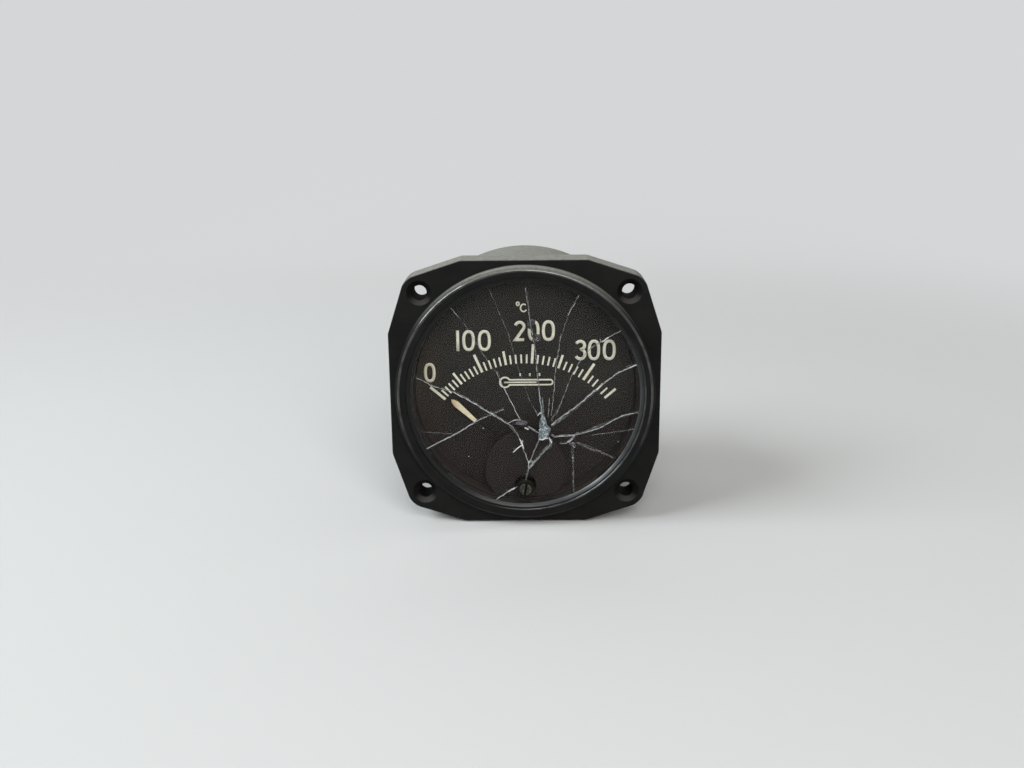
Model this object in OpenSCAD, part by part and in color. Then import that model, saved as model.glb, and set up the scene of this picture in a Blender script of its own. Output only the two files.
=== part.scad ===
// Aircraft cylinder head temperature gauge, 3 1/8 inch case with a 2 3/4 inch dial.
// A moving-coil millivoltmeter in a moulded case. X runs right, Y runs back, Z runs up.
// The origin is the centre of the flange's rear face, which lies against the panel.

/* [Case] */
// Width and height of the square front flange
flange_w = 82.55; // [80:0.05:90]
// Thickness of the flange
flange_t = 9.5; // [7:0.1:12]
// Half length of the straight middle of each flange side
flange_flat = 19; // [16:0.1:22]
// Radius of the rounded ear round each screw hole
ear_r = 5.5; // [5:0.1:6.5]
// Bevel along the flange's front edge
flange_bevel = 0.5; // [0.2:0.1:1]
// Diameter of the raised ring on the front
ring_d = 79; // [77:0.1:80]
// Height of the raised ring above the flange
ring_h = 3; // [2.4:0.1:4]
// Rounding of the ring's outer edge
ring_round = 1.6; // [0.6:0.1:2.2]
// Diameter of the round body behind the flange
body_d = 78; // [76:0.1:79]
// Length of the body behind the flange
body_l = 38.5; // [36:0.1:50]
// Rounding of the body's rear edge
body_round = 1.2; // [0.4:0.1:2]
// Thickness of the rear wall
rear_wall = 4.6; // [4:0.1:6]
// Diameter of the chamber that holds the movement
chamber_d = 68.8; // [67.4:0.1:70]

/* [Panel screw holes] */
// Distance between screw holes, along both sides
hole_spacing = 62.865; // [61:0.005:66]
// Diameter of the screw holes
hole_d = 4.3; // [3.6:0.1:5]
// Diameter of the countersink at the front
sink_d = 7.45; // [6.6:0.05:8]
// Whole angle of the countersink
sink_angle = 82; // [82:1:100]

/* [Glass] */
// Width of the ledge that the glass and its gasket lie on
seat_ledge = 1.75; // [1.4:0.05:2.1]
// Thickness of the cover glass
glass_t = 2; // [1.5:0.1:2.4]
// Thickness of the gasket behind the glass
gasket_t = 0.6; // [0.4:0.1:1]
// Width of the gasket
gasket_w = 1.2; // [0.9:0.05:1.4]
// Thickness of the snap ring
snap_t = 0.8; // [0.6:0.1:1]
// How far the snap ring covers the edge of the glass, from the seat's bore inwards
snap_cover = 1.15; // [0.95:0.05:1.6]
// How far the snap ring reaches into its groove
snap_grip = 0.6; // [0.4:0.1:0.9]
// Width of the gap in the snap ring
snap_gap = 3; // [2:0.1:6]
// Distance from the ring's front to the snap ring
snap_inset = 0.9; // [0.6:0.1:1.4]

/* [Zero adjuster] */
// Distance from the pointer's axis down to the screw's axis
zero_drop = 5.4; // [5.2:0.1:6]
// Diameter of the screw's head
zero_head_d = 3.8; // [3.4:0.1:4.2]
// Thickness of the screw's head
zero_head_t = 0.9; // [0.6:0.1:1]
// Width of the slot in the head
zero_slot_w = 0.7; // [0.5:0.1:1]
// Depth of the slot in the head
zero_slot_t = 0.5; // [0.3:0.1:0.55]
// Diameter of the screw's shank
zero_shank_d = 2.2; // [1.8:0.1:2.4]
// Outer diameter of the bushing through the glass
zero_bush_d = 4.2; // [3.8:0.1:4.6]
// Diameter of the bushing's flange
zero_bush_flange_d = 5.4; // [5:0.1:5.8]
// Thickness of the bushing's flange
zero_bush_flange_t = 0.45; // [0.3:0.05:0.5]
// Size of the bushing's nut across its corners
zero_nut_d = 6; // [5.6:0.1:6.2]
// Thickness of the bushing's nut
zero_nut_t = 0.65; // [0.5:0.05:0.7]
// Diameter of the disc at the screw's inner end
zero_disc_d = 3.6; // [3.4:0.1:4]
// Thickness of the disc
zero_disc_t = 0.4; // [0.3:0.05:0.5]
// Distance of the eccentric pin from the screw's axis
zero_throw = 1; // [0.8:0.05:1.2]
// Diameter of the eccentric pin
zero_pin_d = 0.8; // [0.6:0.1:0.9]

/* [Dial and pointer] */
// Distance from the glass to the dial's face
dial_depth = 5.8; // [5.7:0.1:6.4]
// Clearance between the dial plate and the chamber's wall
dial_play = 0.4; // [0.3:0.1:1]
// Thickness of the dial plate
dial_t = 0.8; // [0.5:0.1:1.2]
// Hole in the dial round the pointer's hub
dial_hub_hole_d = 4.4; // [4:0.1:5]
// Distance of each dial screw from the dial's side edge
dial_screw_edge = 3.4; // [3.2:0.1:6]
// Height of the dial screws below the case axis
dial_screw_drop = 2.5; // [0:0.1:4]
// Diameter of the dial screws
dial_screw_d = 1.8; // [1.4:0.1:2]
// Diameter of the heads of the dial screws
dial_head_d = 3; // [2.6:0.1:3.4]
// Thickness of the heads of the dial screws
dial_head_t = 0.6; // [0.5:0.1:0.8]
// Length of thread of the dial screws in their posts
dial_grip = 4; // [3:0.1:6]
// Diameter of the posts behind the dial
dial_post_d = 4; // [3.4:0.1:4.6]
// Distance of the pointer's axis from the bottom of the chamber
pivot_edge = 9.8; // [9.6:0.1:10.8]
// Angle of the pointer as it rests, counted up from the right
rest_angle = 136.8; // [134:0.1:139]
// Length of the pointer from its axis to its tip
pointer_l = 32; // [31:0.1:32.6]
// Distance of the luminous lance's inner end from the axis
lance_start = 20.8; // [18:0.1:23]
// Width of the lance behind its point
lance_w = 2.5; // [2:0.1:3]
// Width of the lance at its inner end
lance_end_w = 1.7; // [1.4:0.1:2]
// Length of the lance's point
lance_point_l = 2.7; // [2:0.1:4]
// Width of the pointer's arm
arm_w = 0.9; // [0.7:0.1:1.1]
// Thickness of the pointer
pointer_t = 0.4; // [0.3:0.05:0.45]
// Clearance between the dial and the pointer
pointer_gap = 0.9; // [0.85:0.05:1]
// Wall of the lance round its luminous fill
lance_rim = 0.25; // [0.2:0.05:0.4]
// Pointer travel up scale from rest
sweep_up = 99; // [97:0.1:100]
// Pointer travel down scale from rest
sweep_down = 5.6; // [4:0.1:6]
// Distance of the pointer stops from the axis
stop_reach = 9.8; // [9.5:0.1:10.4]
// Diameter of the pointer stops
stop_d = 1; // [0.8:0.1:1.2]

/* [Pivot mask] */
// Radius of the black mask about the pointer's axis
mask_r = 12.6; // [12.5:0.1:13.4]
// Thickness of the mask
mask_t = 0.4; // [0.3:0.05:0.5]
// Clearance between the glass and the mask
mask_gap = 0.9; // [0.85:0.05:1]
// Distance of each mask leg from the middle line
mask_leg_x = 9.4; // [9:0.1:9.8]
// Diameter of the mask legs
mask_leg_d = 2; // [1.6:0.1:2.2]

/* [Moving coil] */
// Diameter of the soft iron core
core_d = 8.4; // [8:0.1:8.6]
// Diameter of the bore between the pole pieces
bore_d = 13.2; // [13.1:0.1:14]
// Radial thickness of the coil's winding
winding_t = 1.2; // [1:0.05:1.25]
// Width of the winding
winding_w = 2; // [1.6:0.1:2.2]
// Wall of the coil former
former_t = 0.3; // [0.2:0.05:0.35]
// Clearance between the core and the coil
coil_gap = 0.4; // [0.3:0.05:0.5]
// Diameter of the staffs
staff_d = 1.2; // [1:0.1:1.4]
// Diameter of the pivots at the ends of the staffs
pivot_d = 0.3; // [0.24:0.02:0.4]
// Diameter of the collet that holds a hairspring
collet_d = 2.1; // [1.9:0.1:2.2]
// Diameter of the pointer's hub
hub_d = 3; // [2.6:0.1:3.2]
// Length of the balance arm behind the pointer
tail_l = 6.8; // [6:0.1:6.9]
// Length of each side arm of the balance cross
side_arm_l = 6.2; // [5.8:0.1:6.4]
// Width of the balance arms
balance_w = 0.6; // [0.5:0.1:0.8]
// Diameter of the balance weights
weight_d = 1.4; // [1.2:0.1:1.5]
// Length of the balance weights
weight_l = 1.4; // [1:0.1:1.5]

/* [Hairsprings] */
// Height of the hairspring strip
spring_h = 0.35; // [0.25:0.05:0.4]
// Thickness of the hairspring strip
spring_t = 0.1; // [0.08:0.01:0.12]
// Outer radius of the hairspring
spring_r = 3.7; // [3.68:0.01:4]
// Number of turns of each hairspring
spring_turns = 5; // [3:1:5]
// Thickness of the bimetal strip
bimetal_t = 0.35; // [0.25:0.05:0.45]
// Width of the bimetal strip
bimetal_h = 1.2; // [1:0.1:1.6]
// Outer radius of the bimetal spiral
bimetal_r = 6; // [5.6:0.1:6.6]
// Number of turns of the bimetal spiral
bimetal_turns = 3; // [2:1:3]

/* [Bridges and jewels] */
// Width of the bridges
bridge_w = 4; // [3.6:0.1:4.4]
// Thickness of the bridges
bridge_t = 0.9; // [0.8:0.05:0.95]
// Distance of each bridge post from the axis
post_x = 8.6; // [8.5:0.1:8.8]
// Diameter of the front bridge posts
post_d = 2.6; // [2.4:0.1:2.7]
// Diameter of the jewel screws
jewel_d = 2.6; // [2.4:0.1:2.8]
// Diameter of the boss that the zero corrector turns on
boss_d = 3.8; // [3.6:0.1:4]
// Size of the jewel nuts across their corners
jewel_nut_d = 4.8; // [4.6:0.1:5]
// Thickness of the jewel nuts
jewel_nut_t = 0.5; // [0.4:0.05:0.5]
// Thickness of the zero corrector
corrector_t = 0.35; // [0.3:0.05:0.4]
// Diameter of the small machine screws of the movement
small_screw_d = 1.4; // [1.2:0.1:1.5]
// Diameter of the heads of the small screws
small_head_d = 2.5; // [2.2:0.1:2.7]
// Thickness of the heads of the small screws
small_head_t = 0.7; // [0.5:0.1:0.9]
// Length of thread of the small screws in the posts
small_grip = 3; // [2:0.1:4]

/* [Magnet and pole pieces] */
// Outer radius of the horseshoe magnet's arch
magnet_r = 19; // [18:0.1:19.4]
// Width of the magnet's legs
magnet_leg_w = 8.5; // [7:0.1:8.8]
// Distance of the arch's centre below the case axis
magnet_drop = 9; // [8:0.1:10]
// Distance that the legs reach below the pointer's axis
leg_reach = 2.9; // [2:0.1:3]
// Thickness of the magnet and the pole pieces
magnet_t = 8; // [7:0.1:9]
// Height of the pole pieces
pole_h = 11.8; // [11.4:0.1:12.4]
// Distance from the dial to the magnet
magnet_gap = 6.2; // [5.8:0.1:7]
// Thickness of the strap that holds the core
strap_t = 1; // [0.8:0.1:1.4]
// Length of the strap
strap_l = 17; // [16:0.1:18]
// Diameter of the screw that holds the core
core_screw_d = 1.6; // [1.4:0.1:1.8]
// Width of the magnet clamp
clamp_w = 16; // [14:0.1:18]
// Height of the magnet clamp
clamp_h = 9; // [8:0.1:10]
// Thickness of the magnet clamp
clamp_t = 1; // [0.8:0.1:1.4]
// Diameter of the pillar behind the clamp
clamp_pillar_d = 7; // [6:0.1:7.6]

/* [Movement frame] */
// Clearance between the movement plate and the chamber's wall
plate_play = 1.4; // [0.9:0.1:1.9]
// Thickness of the movement plate
plate_t = 1.6; // [1.4:0.1:2]
// Diameter of the pillars to the rear wall
pillar_d = 6; // [5:0.1:7]
// Distance of the pillars from the case axis
pillar_reach = 26; // [25.6:0.1:27]
// Diameter of the screws in the pillars
pillar_screw_d = 3; // [2.6:0.1:3.4]
// Diameter of the heads of the pillar screws
pillar_head_d = 5.6; // [5:0.1:6]
// Thickness of the heads of the pillar screws
pillar_head_t = 1.8; // [1.4:0.1:2.2]
// Length of thread of the screws in the pillars
pillar_grip = 7; // [5:0.1:9]

/* [Series resistor] */
// Distance of the bobbin from the middle line
bobbin_x = 14; // [13:0.1:15]
// Height of the bobbin above the case axis
bobbin_z = 20; // [19:0.1:21]
// Diameter of the bobbin's flanges
bobbin_d = 11; // [10:0.1:12]
// Length of the bobbin
bobbin_l = 11; // [9:0.1:12]
// Thickness of the bobbin's flanges
bobbin_flange_t = 0.9; // [0.6:0.1:1.2]
// Diameter of the bobbin's core
bobbin_core_d = 5; // [4.4:0.1:6]
// Diameter of the resistance winding
resistor_d = 9.4; // [8:0.1:9.8]

/* [Leads inside the case] */
// Diameter of the insulated leads
lead_d = 1.2; // [0.8:0.1:1.4]
// How far a lead is drawn straight from its ends
lead_pull = 9; // [8:0.5:10]
// Distance of the positive lead's hole from the middle line
feed_x = 4.5; // [4:0.1:5.5]
// Height of the positive lead's hole above the case axis
feed_z = 19; // [17.5:0.1:20]
// Distance of the resistor lead's hole from the middle line
return_x = 16; // [15.5:0.1:17]
// Height of the resistor lead's hole above the case axis
return_z = 11; // [10:0.1:12]
// Distance of the negative lead's joint on the plate from the middle line
earth_x = 12; // [11:0.1:14]
// Height of the negative lead's joint above the case axis
earth_z = 4; // [2:0.1:7]

/* [Terminals] */
// Distance between the two studs
stud_spacing = 25.4; // [24:0.1:27]
// Diameter of the positive stud
stud_plus_d = 4.826; // [4.5:0.001:5.2]
// Pitch diameter of the positive stud's thread
stud_plus_pitch_d = 4.31; // [4.1:0.01:4.4]
// Diameter of the negative stud
stud_minus_d = 4.166; // [3.8:0.001:4.4]
// Pitch diameter of the negative stud's thread
stud_minus_pitch_d = 3.65; // [3.4:0.01:3.7]
// Length of the studs behind the case
stud_out = 14; // [13.5:0.1:18]
// Thickness of the hexagon heads inside the case
stud_head_t = 2.4; // [2:0.1:3]
// Size of the positive nuts across their corners
nut_plus_d = 11; // [10:0.1:12]
// Size of the negative nuts across their corners
nut_minus_d = 10.1; // [9:0.1:11]
// Thickness of the nuts
nut_t = 3.2; // [2.4:0.1:3.4]
// Diameter of the positive washers
washer_plus_d = 11.4; // [11:0.1:12.4]
// Diameter of the negative washers
washer_minus_d = 10.4; // [10:0.1:11.4]
// Thickness of the washers
washer_t = 0.8; // [0.6:0.1:1]
// Thickness of the solder tags inside
tag_t = 0.6; // [0.4:0.1:0.8]
// Length of a solder tag from its stud
tag_l = 8.6; // [8:0.1:10]

/* [Fits] */
// Radial clearance of screws and pins in their holes
fit = 0.05; // [0.03:0.01:0.08]
// Running clearance between faces that slide past each other
run = 0.05; // [0.04:0.01:0.08]
// Radial clearance round the glass
glass_play = 0.25; // [0.15:0.05:0.3]

/* [Hidden] */
$fn = 96;

// Small overshoot of a cutting tool past the face that it cuts
cut = 0.5;
// Number of straight pieces in one turn of a spiral
spiral_steps = 24;
// Width of a screw's slot as a share of its shank
slot_share = 0.3;

// The layers along Y, from the front of the ring to the tips of the studs
flange_front = -flange_t;
ring_front = flange_front - ring_h;
snap_front = ring_front + snap_inset;
glass_front = snap_front + snap_t;
glass_rear = glass_front + glass_t;
seat_rear = glass_rear + gasket_t;
mask_front = glass_rear + mask_gap;
mask_rear = mask_front + mask_t;
dial_front = glass_rear + dial_depth;
dial_rear = dial_front + dial_t;
pointer_rear = dial_front - pointer_gap;
pointer_front = pointer_rear - pointer_t;
hub_lip = 0.3;
hub_front = pointer_front - hub_lip;
hub_rear = pointer_rear + hub_lip;
spring_rear = hub_front - 2 * run;
spring_front = spring_rear - spring_h;
bridge_rear = spring_front - 3 * run;
bridge_front = bridge_rear - bridge_t;
jewel_stand = 0.2;
corrector_rear = bridge_front - run;
corrector_front = corrector_rear - corrector_t;
boss_front = corrector_front - run;
jewel_nut_front = boss_front - jewel_nut_t;
jewel_front = jewel_nut_front - jewel_stand;
magnet_front = dial_rear + magnet_gap;
magnet_rear = magnet_front + magnet_t;
plate_rear = magnet_rear + plate_t;
chamber_rear = body_l - rear_wall;
winding_front = magnet_front - coil_gap - former_t - winding_t;
winding_rear = magnet_rear + coil_gap + former_t + winding_t;
staff_foot_t = 0.5;
spring_stand = 0.3;
staff_end_l = 0.7;
rear_spring_front = winding_rear + staff_foot_t + spring_stand;
rear_spring_rear = rear_spring_front + spring_h;
rear_staff_end = rear_spring_rear + staff_end_l;
pivot_l = 0.5;
rear_bridge_front = rear_staff_end + 2 * run;
rear_bridge_rear = rear_bridge_front + bridge_t;
rear_nut_rear = rear_bridge_rear + jewel_nut_t;
bimetal_front = rear_nut_rear + jewel_stand;
bimetal_rear = bimetal_front + bimetal_h;
zero_head_rear = glass_front - zero_bush_flange_t - run;
zero_head_front = zero_head_rear - zero_head_t;
zero_nut_rear = glass_rear + zero_nut_t;
zero_disc_front = zero_nut_rear + 2 * run;
zero_disc_rear = zero_disc_front + zero_disc_t;
zero_pin_rear = corrector_rear + 4 * run;

// Radii about the case axis
chamber_r = chamber_d / 2;
seat_r = chamber_r + seat_ledge;
snap_inner_r = seat_r - snap_cover;
groove_r = seat_r + snap_grip + fit;
gasket_inner_r = seat_r - glass_play - gasket_w;
dial_r = chamber_r - dial_play;
dial_screw_x = dial_r - dial_screw_edge;
plate_r = chamber_r - plate_play;

// Radii and places about the pointer's axis
core_r = core_d / 2;
bore_r = bore_d / 2;
former_in = core_r + coil_gap;
winding_in = former_in + former_t;
magnet_in = magnet_r - magnet_leg_w;
fork_reach = zero_drop + zero_throw;
fork_play = 0.14;
fork_slot_w = zero_pin_d + 2 * fork_play;
magnet_room = 0.8;
pole_screw_edge = 0.6;
pole_screw_x = magnet_in - small_screw_d / 2 - pole_screw_edge;
pole_screw_z = 4;
post_spigot = 2.5;
tab_w = 1;
tab_t = 0.5;
pillar_angles = [90, 210, 330];
pivot_drop = chamber_r - pivot_edge;
axle = -pivot_drop;

// A rod along Y between two depths
module rod(r, y0, y1) {
    translate([0, y0, 0]) rotate([-90, 0, 0]) cylinder(h = y1 - y0, r = r);
}

// A bored rod along Y between two depths
module tube(r, bore, y0, y1) {
    difference() {
        rod(r, y0, y1);
        rod(bore, y0 - cut, y1 + cut);
    }
}

// A flat outline, drawn as seen from the front, extruded between two depths
module sheet(y0, y1) {
    translate([0, y1, 0]) rotate([90, 0, 0]) linear_extrude(y1 - y0) children();
}

// A turned shape about the Y axis, from a profile of radius and depth
module turned() {
    rotate([-90, 0, 0]) rotate_extrude() children();
}

// A rectangle between two corners
module area(x0, y0, x1, y1) {
    translate([x0, y0]) square([x1 - x0, y1 - y0]);
}

// Moves a shape to the pointer's axis
module at_axle() {
    translate([0, 0, axle]) children();
}

// A shape and its mirror image to the left
module both_sides() {
    children();
    mirror([1, 0, 0]) children();
}

// A slotted screw along Y with its head at the front
module front_screw(d, head_d, head_t, face, tip) {
    slot_w = d * slot_share;
    slot_t = head_t / 2;
    difference() {
        union() {
            rod(head_d / 2, face - head_t, face);
            rod(d / 2, face - head_t / 2, tip);
        }
        translate([-head_d, face - head_t - cut, -slot_w / 2]) cube([2 * head_d, cut + slot_t, slot_w]);
    }
}

// A hexagon nut along Y, its corners at a diameter
module nut(d, bore_d, y0, y1) {
    difference() {
        sheet(y0, y1) circle(d = d, $fn = 6);
        rod(bore_d / 2 + fit, y0 - cut, y1 + cut);
    }
}

// The point where a line from p meets a circle of radius r about c as a tangent
function tangent_point(p, c, r) =
    let (d = c - p, far = norm(d), turn = atan2(d[1], d[0]) + asin(r / far))
    p + sqrt(far * far - r * r) * [cos(turn), sin(turn)];

// The corners of one quarter of the flange, from the top flat to the right flat
function flange_quarter() =
    let (flat_end = [flange_flat, flange_w / 2],
         ear = [hole_spacing / 2, hole_spacing / 2],
         touch = tangent_point(flat_end, ear, ear_r))
    [flat_end, touch, ear, [touch[1], touch[0]], [flat_end[1], flat_end[0]]];

module flange_outline() {
    q = flange_quarter();
    polygon(concat(
        [for (i = [0:4]) q[i]],
        [for (i = [4:-1:0]) [q[i][0], -q[i][1]]],
        [for (i = [0:4]) -q[i]],
        [for (i = [4:-1:0]) [-q[i][0], q[i][1]]]));
}

// The tool that bevels one straight front edge, its outward direction at an angle
module bevel_tool(angle, reach) {
    rotate([0, -angle, 0]) translate([reach - flange_bevel, flange_front, -flange_w])
        rotate([0, 0, -45]) translate([0, -flange_w, 0]) cube([flange_w, flange_w, 2 * flange_w]);
}

module flange() {
    q = flange_quarter();
    slope = q[1] - q[0];
    slope_angle = 90 + atan2(slope[1], slope[0]);
    slope_reach = q[0] * [cos(slope_angle), sin(slope_angle)];
    difference() {
        sheet(flange_front, 0) flange_outline();
        for (quarter = [0:90:270]) {
            bevel_tool(quarter, flange_w / 2);
            bevel_tool(quarter + slope_angle, slope_reach);
            bevel_tool(quarter - slope_angle, slope_reach);
        }
    }
    for (x = [-1, 1], z = [-1, 1])
        translate([x * hole_spacing / 2, 0, z * hole_spacing / 2])
            turned() polygon([[0, flange_front], [ear_r - flange_bevel, flange_front],
                [ear_r, flange_front + flange_bevel], [ear_r, 0], [0, 0]]);
}

module case_body_profile() {
    ring_r = ring_d / 2;
    body_r = body_d / 2;
    area(0, ring_front, ring_r - ring_round, 0);
    area(0, ring_front + ring_round, ring_r, 0);
    translate([ring_r - ring_round, ring_front + ring_round]) circle(ring_round);
    area(0, -cut, body_r, body_l - body_round);
    area(0, 0, body_r - body_round, body_l);
    translate([body_r - body_round, body_l - body_round]) circle(body_round);
}

module case_hollow_profile() {
    lip = 0.35;
    area(0, ring_front - cut, seat_r, seat_rear);
    area(0, snap_front - fit, groove_r, snap_front + snap_t);
    area(0, seat_rear - cut, chamber_r, chamber_rear);
    polygon([[0, ring_front - cut], [seat_r + lip + cut, ring_front - cut],
        [seat_r, ring_front + lip], [0, ring_front + lip]]);
}

module panel_screw_hole() {
    sink_depth = (sink_d - hole_d) / 2 / tan(sink_angle / 2);
    spread = cut * tan(sink_angle / 2);
    rod(hole_d / 2, flange_front - cut, cut);
    turned() polygon([[0, flange_front - cut], [sink_d / 2 + spread, flange_front - cut],
        [hole_d / 2, flange_front + sink_depth], [0, flange_front + sink_depth]]);
}

module at_pillars() {
    for (a = pillar_angles)
        translate([pillar_reach * cos(a), 0, pillar_reach * sin(a)]) children();
}

module case() {
    color([0.07, 0.08, 0.075]) difference() {
        union() {
            flange();
            turned() case_body_profile();
        }
        turned() case_hollow_profile();
        for (x = [-1, 1], z = [-1, 1])
            translate([x * hole_spacing / 2, 0, z * hole_spacing / 2]) panel_screw_hole();
        at_pillars() {
            rod(pillar_screw_d / 2 + 4 * fit, chamber_rear - cut, body_l + cut);
            rod(pillar_head_d / 2 + 4 * fit, body_l - pillar_head_t - 2 * fit, body_l + cut);
        }
        translate([stud_spacing / 2, 0, 0]) rod(stud_plus_d / 2 + fit, chamber_rear - cut, body_l + cut);
        translate([-stud_spacing / 2, 0, 0]) rod(stud_minus_d / 2 + fit, chamber_rear - cut, body_l + cut);
    }
}

module snap_ring() {
    outer = groove_r - fit;
    color([0.10, 0.10, 0.10]) difference() {
        tube(outer, snap_inner_r, snap_front, snap_front + snap_t);
        translate([-snap_gap / 2, snap_front - cut, 0]) cube([snap_gap, snap_t + 2 * cut, ring_d]);
    }
}

module cover_glass() {
    color([0.75, 0.85, 0.82, 0.25]) difference() {
        rod(seat_r - glass_play, glass_front, glass_rear);
        at_zero_screw() rod(zero_bush_d / 2 + 2 * fit, glass_front - cut, glass_rear + cut);
    }
}

module glass_gasket() {
    color([0.15, 0.13, 0.12]) tube(seat_r - glass_play, gasket_inner_r, glass_rear, seat_rear);
}

// Moves a shape to the zero screw's axis
module at_zero_screw() {
    translate([0, 0, axle - zero_drop]) children();
}

module zero_bushing() {
    bore = zero_shank_d / 2 + run;
    flange_y = glass_front - zero_bush_flange_t;
    color([0.25, 0.22, 0.15]) at_zero_screw() turned()
        polygon([[bore, flange_y], [zero_bush_flange_d / 2, flange_y],
            [zero_bush_flange_d / 2, glass_front], [zero_bush_d / 2, glass_front],
            [zero_bush_d / 2, zero_nut_rear], [bore, zero_nut_rear]]);
}

module zero_bushing_nut() {
    color([0.30, 0.26, 0.16]) at_zero_screw() nut(zero_nut_d, zero_bush_d, glass_rear, zero_nut_rear);
}

module zero_screw() {
    slot_turn = 8;
    color([0.55, 0.46, 0.28]) at_zero_screw() {
        difference() {
            union() {
                rod(zero_head_d / 2, zero_head_front, zero_head_rear);
                rod(zero_shank_d / 2, zero_head_rear - zero_head_t / 2, zero_disc_front + zero_disc_t / 2);
                rod(zero_disc_d / 2, zero_disc_front, zero_disc_rear);
            }
            rotate([0, slot_turn, 0])
                translate([-zero_slot_w / 2, zero_head_front - cut, -zero_head_d])
                    cube([zero_slot_w, cut + zero_slot_t, 2 * zero_head_d]);
        }
        translate([0, 0, -zero_throw]) rod(zero_pin_d / 2, zero_disc_rear - zero_disc_t / 2, zero_pin_rear);
    }
}

module mask_leg_places() {
    both_sides() translate([mask_leg_x, 0, axle - zero_drop]) children();
}

module pivot_mask() {
    nut_room = 0.4;
    leg_foot = 0.3;
    color([0.05, 0.05, 0.05]) {
        difference() {
            intersection() {
                at_axle() rod(mask_r, mask_front, mask_rear);
                rod(dial_r, mask_front - cut, mask_rear + cut);
            }
            at_zero_screw() rod(zero_nut_d / 2 + nut_room, mask_front - cut, mask_rear + cut);
        }
        mask_leg_places() rod(mask_leg_d / 2, mask_front + mask_t / 2, dial_rear + leg_foot);
    }
}

module dial_screw_places() {
    both_sides() translate([dial_screw_x, 0, -dial_screw_drop]) children();
}

module stop_places() {
    turn = asin((arm_w + stop_d + 2 * run) / 2 / stop_reach);
    at_axle() {
        rotate([0, -(rest_angle + sweep_down + turn), 0]) translate([stop_reach, 0, 0]) children();
        rotate([0, -(rest_angle - sweep_up - turn), 0]) translate([stop_reach, 0, 0]) children();
    }
}

module dial_plate() {
    y0 = dial_front - cut;
    y1 = dial_rear + cut;
    color([0.06, 0.055, 0.05]) difference() {
        rod(dial_r, dial_front, dial_rear);
        at_axle() rod(dial_hub_hole_d / 2, y0, y1);
        at_axle() both_sides() translate([post_x, 0, 0]) rod(post_d / 2 + 4 * fit, y0, y1);
        mask_leg_places() rod(mask_leg_d / 2 + fit, y0, y1);
        dial_screw_places() rod(dial_screw_d / 2 + fit, y0, y1);
        stop_places() rod(stop_d / 2, y0, y1);
    }
}

module dial_screws() {
    color([0.08, 0.08, 0.08]) dial_screw_places()
        front_screw(dial_screw_d, dial_head_d, dial_head_t, dial_front, dial_rear + dial_grip);
}

module dial_posts() {
    color([0.72, 0.60, 0.35]) dial_screw_places() difference() {
        rod(dial_post_d / 2, dial_rear, magnet_rear);
        rod(dial_screw_d / 2 + fit, dial_rear - cut, dial_rear + dial_grip + cut);
    }
}

module pointer_stops() {
    color([0.10, 0.10, 0.10]) stop_places() rod(stop_d / 2, pointer_front - hub_lip, dial_rear);
}

// Lays a flat outline, drawn along +X, in the pointer's direction at rest
module in_pointer_plane(y0, y1) {
    at_axle() rotate([0, -rest_angle, 0]) sheet(y0, y1) children();
}

// The brow rounds the lance's point: its place and width as shares of the point
brow_share = 0.45;
brow_w_share = 0.62;

// One edge of the lance, from its inner end to its brow, drawn in by a margin
function lance_edge(margin) =
    let (half = lance_w / 2 - margin, end_half = lance_end_w / 2 - margin, start = lance_start + margin)
    [[start, end_half / 2], [start + end_half / 2, end_half], [pointer_l - lance_point_l, half],
     [pointer_l - lance_point_l * brow_share, half * brow_w_share]];

// A pointed outline from one edge and its mirror image
module pointed(edge, tip) {
    last = len(edge) - 1;
    polygon(concat(edge, [[tip, 0]], [for (i = [last:-1:0]) [edge[i][0], -edge[i][1]]]));
}

module lance_inside(margin) {
    pointed(lance_edge(margin), pointer_l - 2 * margin);
}

module pointer() {
    arm = [[0, arm_w / 2], [lance_start, arm_w / 2]];
    lance = lance_edge(0);
    color([0.08, 0.08, 0.08]) difference() {
        union() {
            in_pointer_plane(pointer_front, pointer_rear)
                pointed(concat(arm, [for (i = [1:3]) lance[i]]), pointer_l);
            at_axle() rod(hub_d / 2, hub_front, pointer_rear);
        }
        at_axle() rod(staff_d / 2 + fit, hub_front - cut, pointer_rear + cut);
        in_pointer_plane(pointer_front - cut, pointer_rear + cut) lance_inside(lance_rim);
    }
}

module luminous_fill() {
    inset = 0.1;
    play = 0.02;
    color([0.86, 0.82, 0.62]) in_pointer_plane(pointer_front, pointer_rear - inset)
        lance_inside(lance_rim + play);
}

// The balance cross sits behind the pointer on the same hub
module balance_cross() {
    color([0.72, 0.60, 0.35]) {
        in_pointer_plane(pointer_rear, hub_rear) difference() {
            union() {
                circle(hub_d / 2);
                area(-tail_l, -balance_w / 2, 0, balance_w / 2);
                area(-balance_w / 2, -side_arm_l, balance_w / 2, side_arm_l);
            }
            circle(staff_d / 2 + fit);
        }
    }
}

module balance_weights() {
    arms = [[180, tail_l], [90, side_arm_l], [-90, side_arm_l]];
    depth = (pointer_rear + hub_rear) / 2;
    color([0.75, 0.62, 0.36]) at_axle() for (arm = arms)
        rotate([0, -(rest_angle + arm[0]), 0]) translate([arm[1] - weight_l, depth, 0]) difference() {
            rotate([0, 90, 0]) cylinder(h = weight_l, r = weight_d / 2, $fn = 48);
            translate([-cut, -hub_lip / 2 - run / 2, -balance_w / 2 - run / 2])
                cube([weight_l + 2 * cut, hub_lip + run, balance_w + run]);
        }
}

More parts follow.
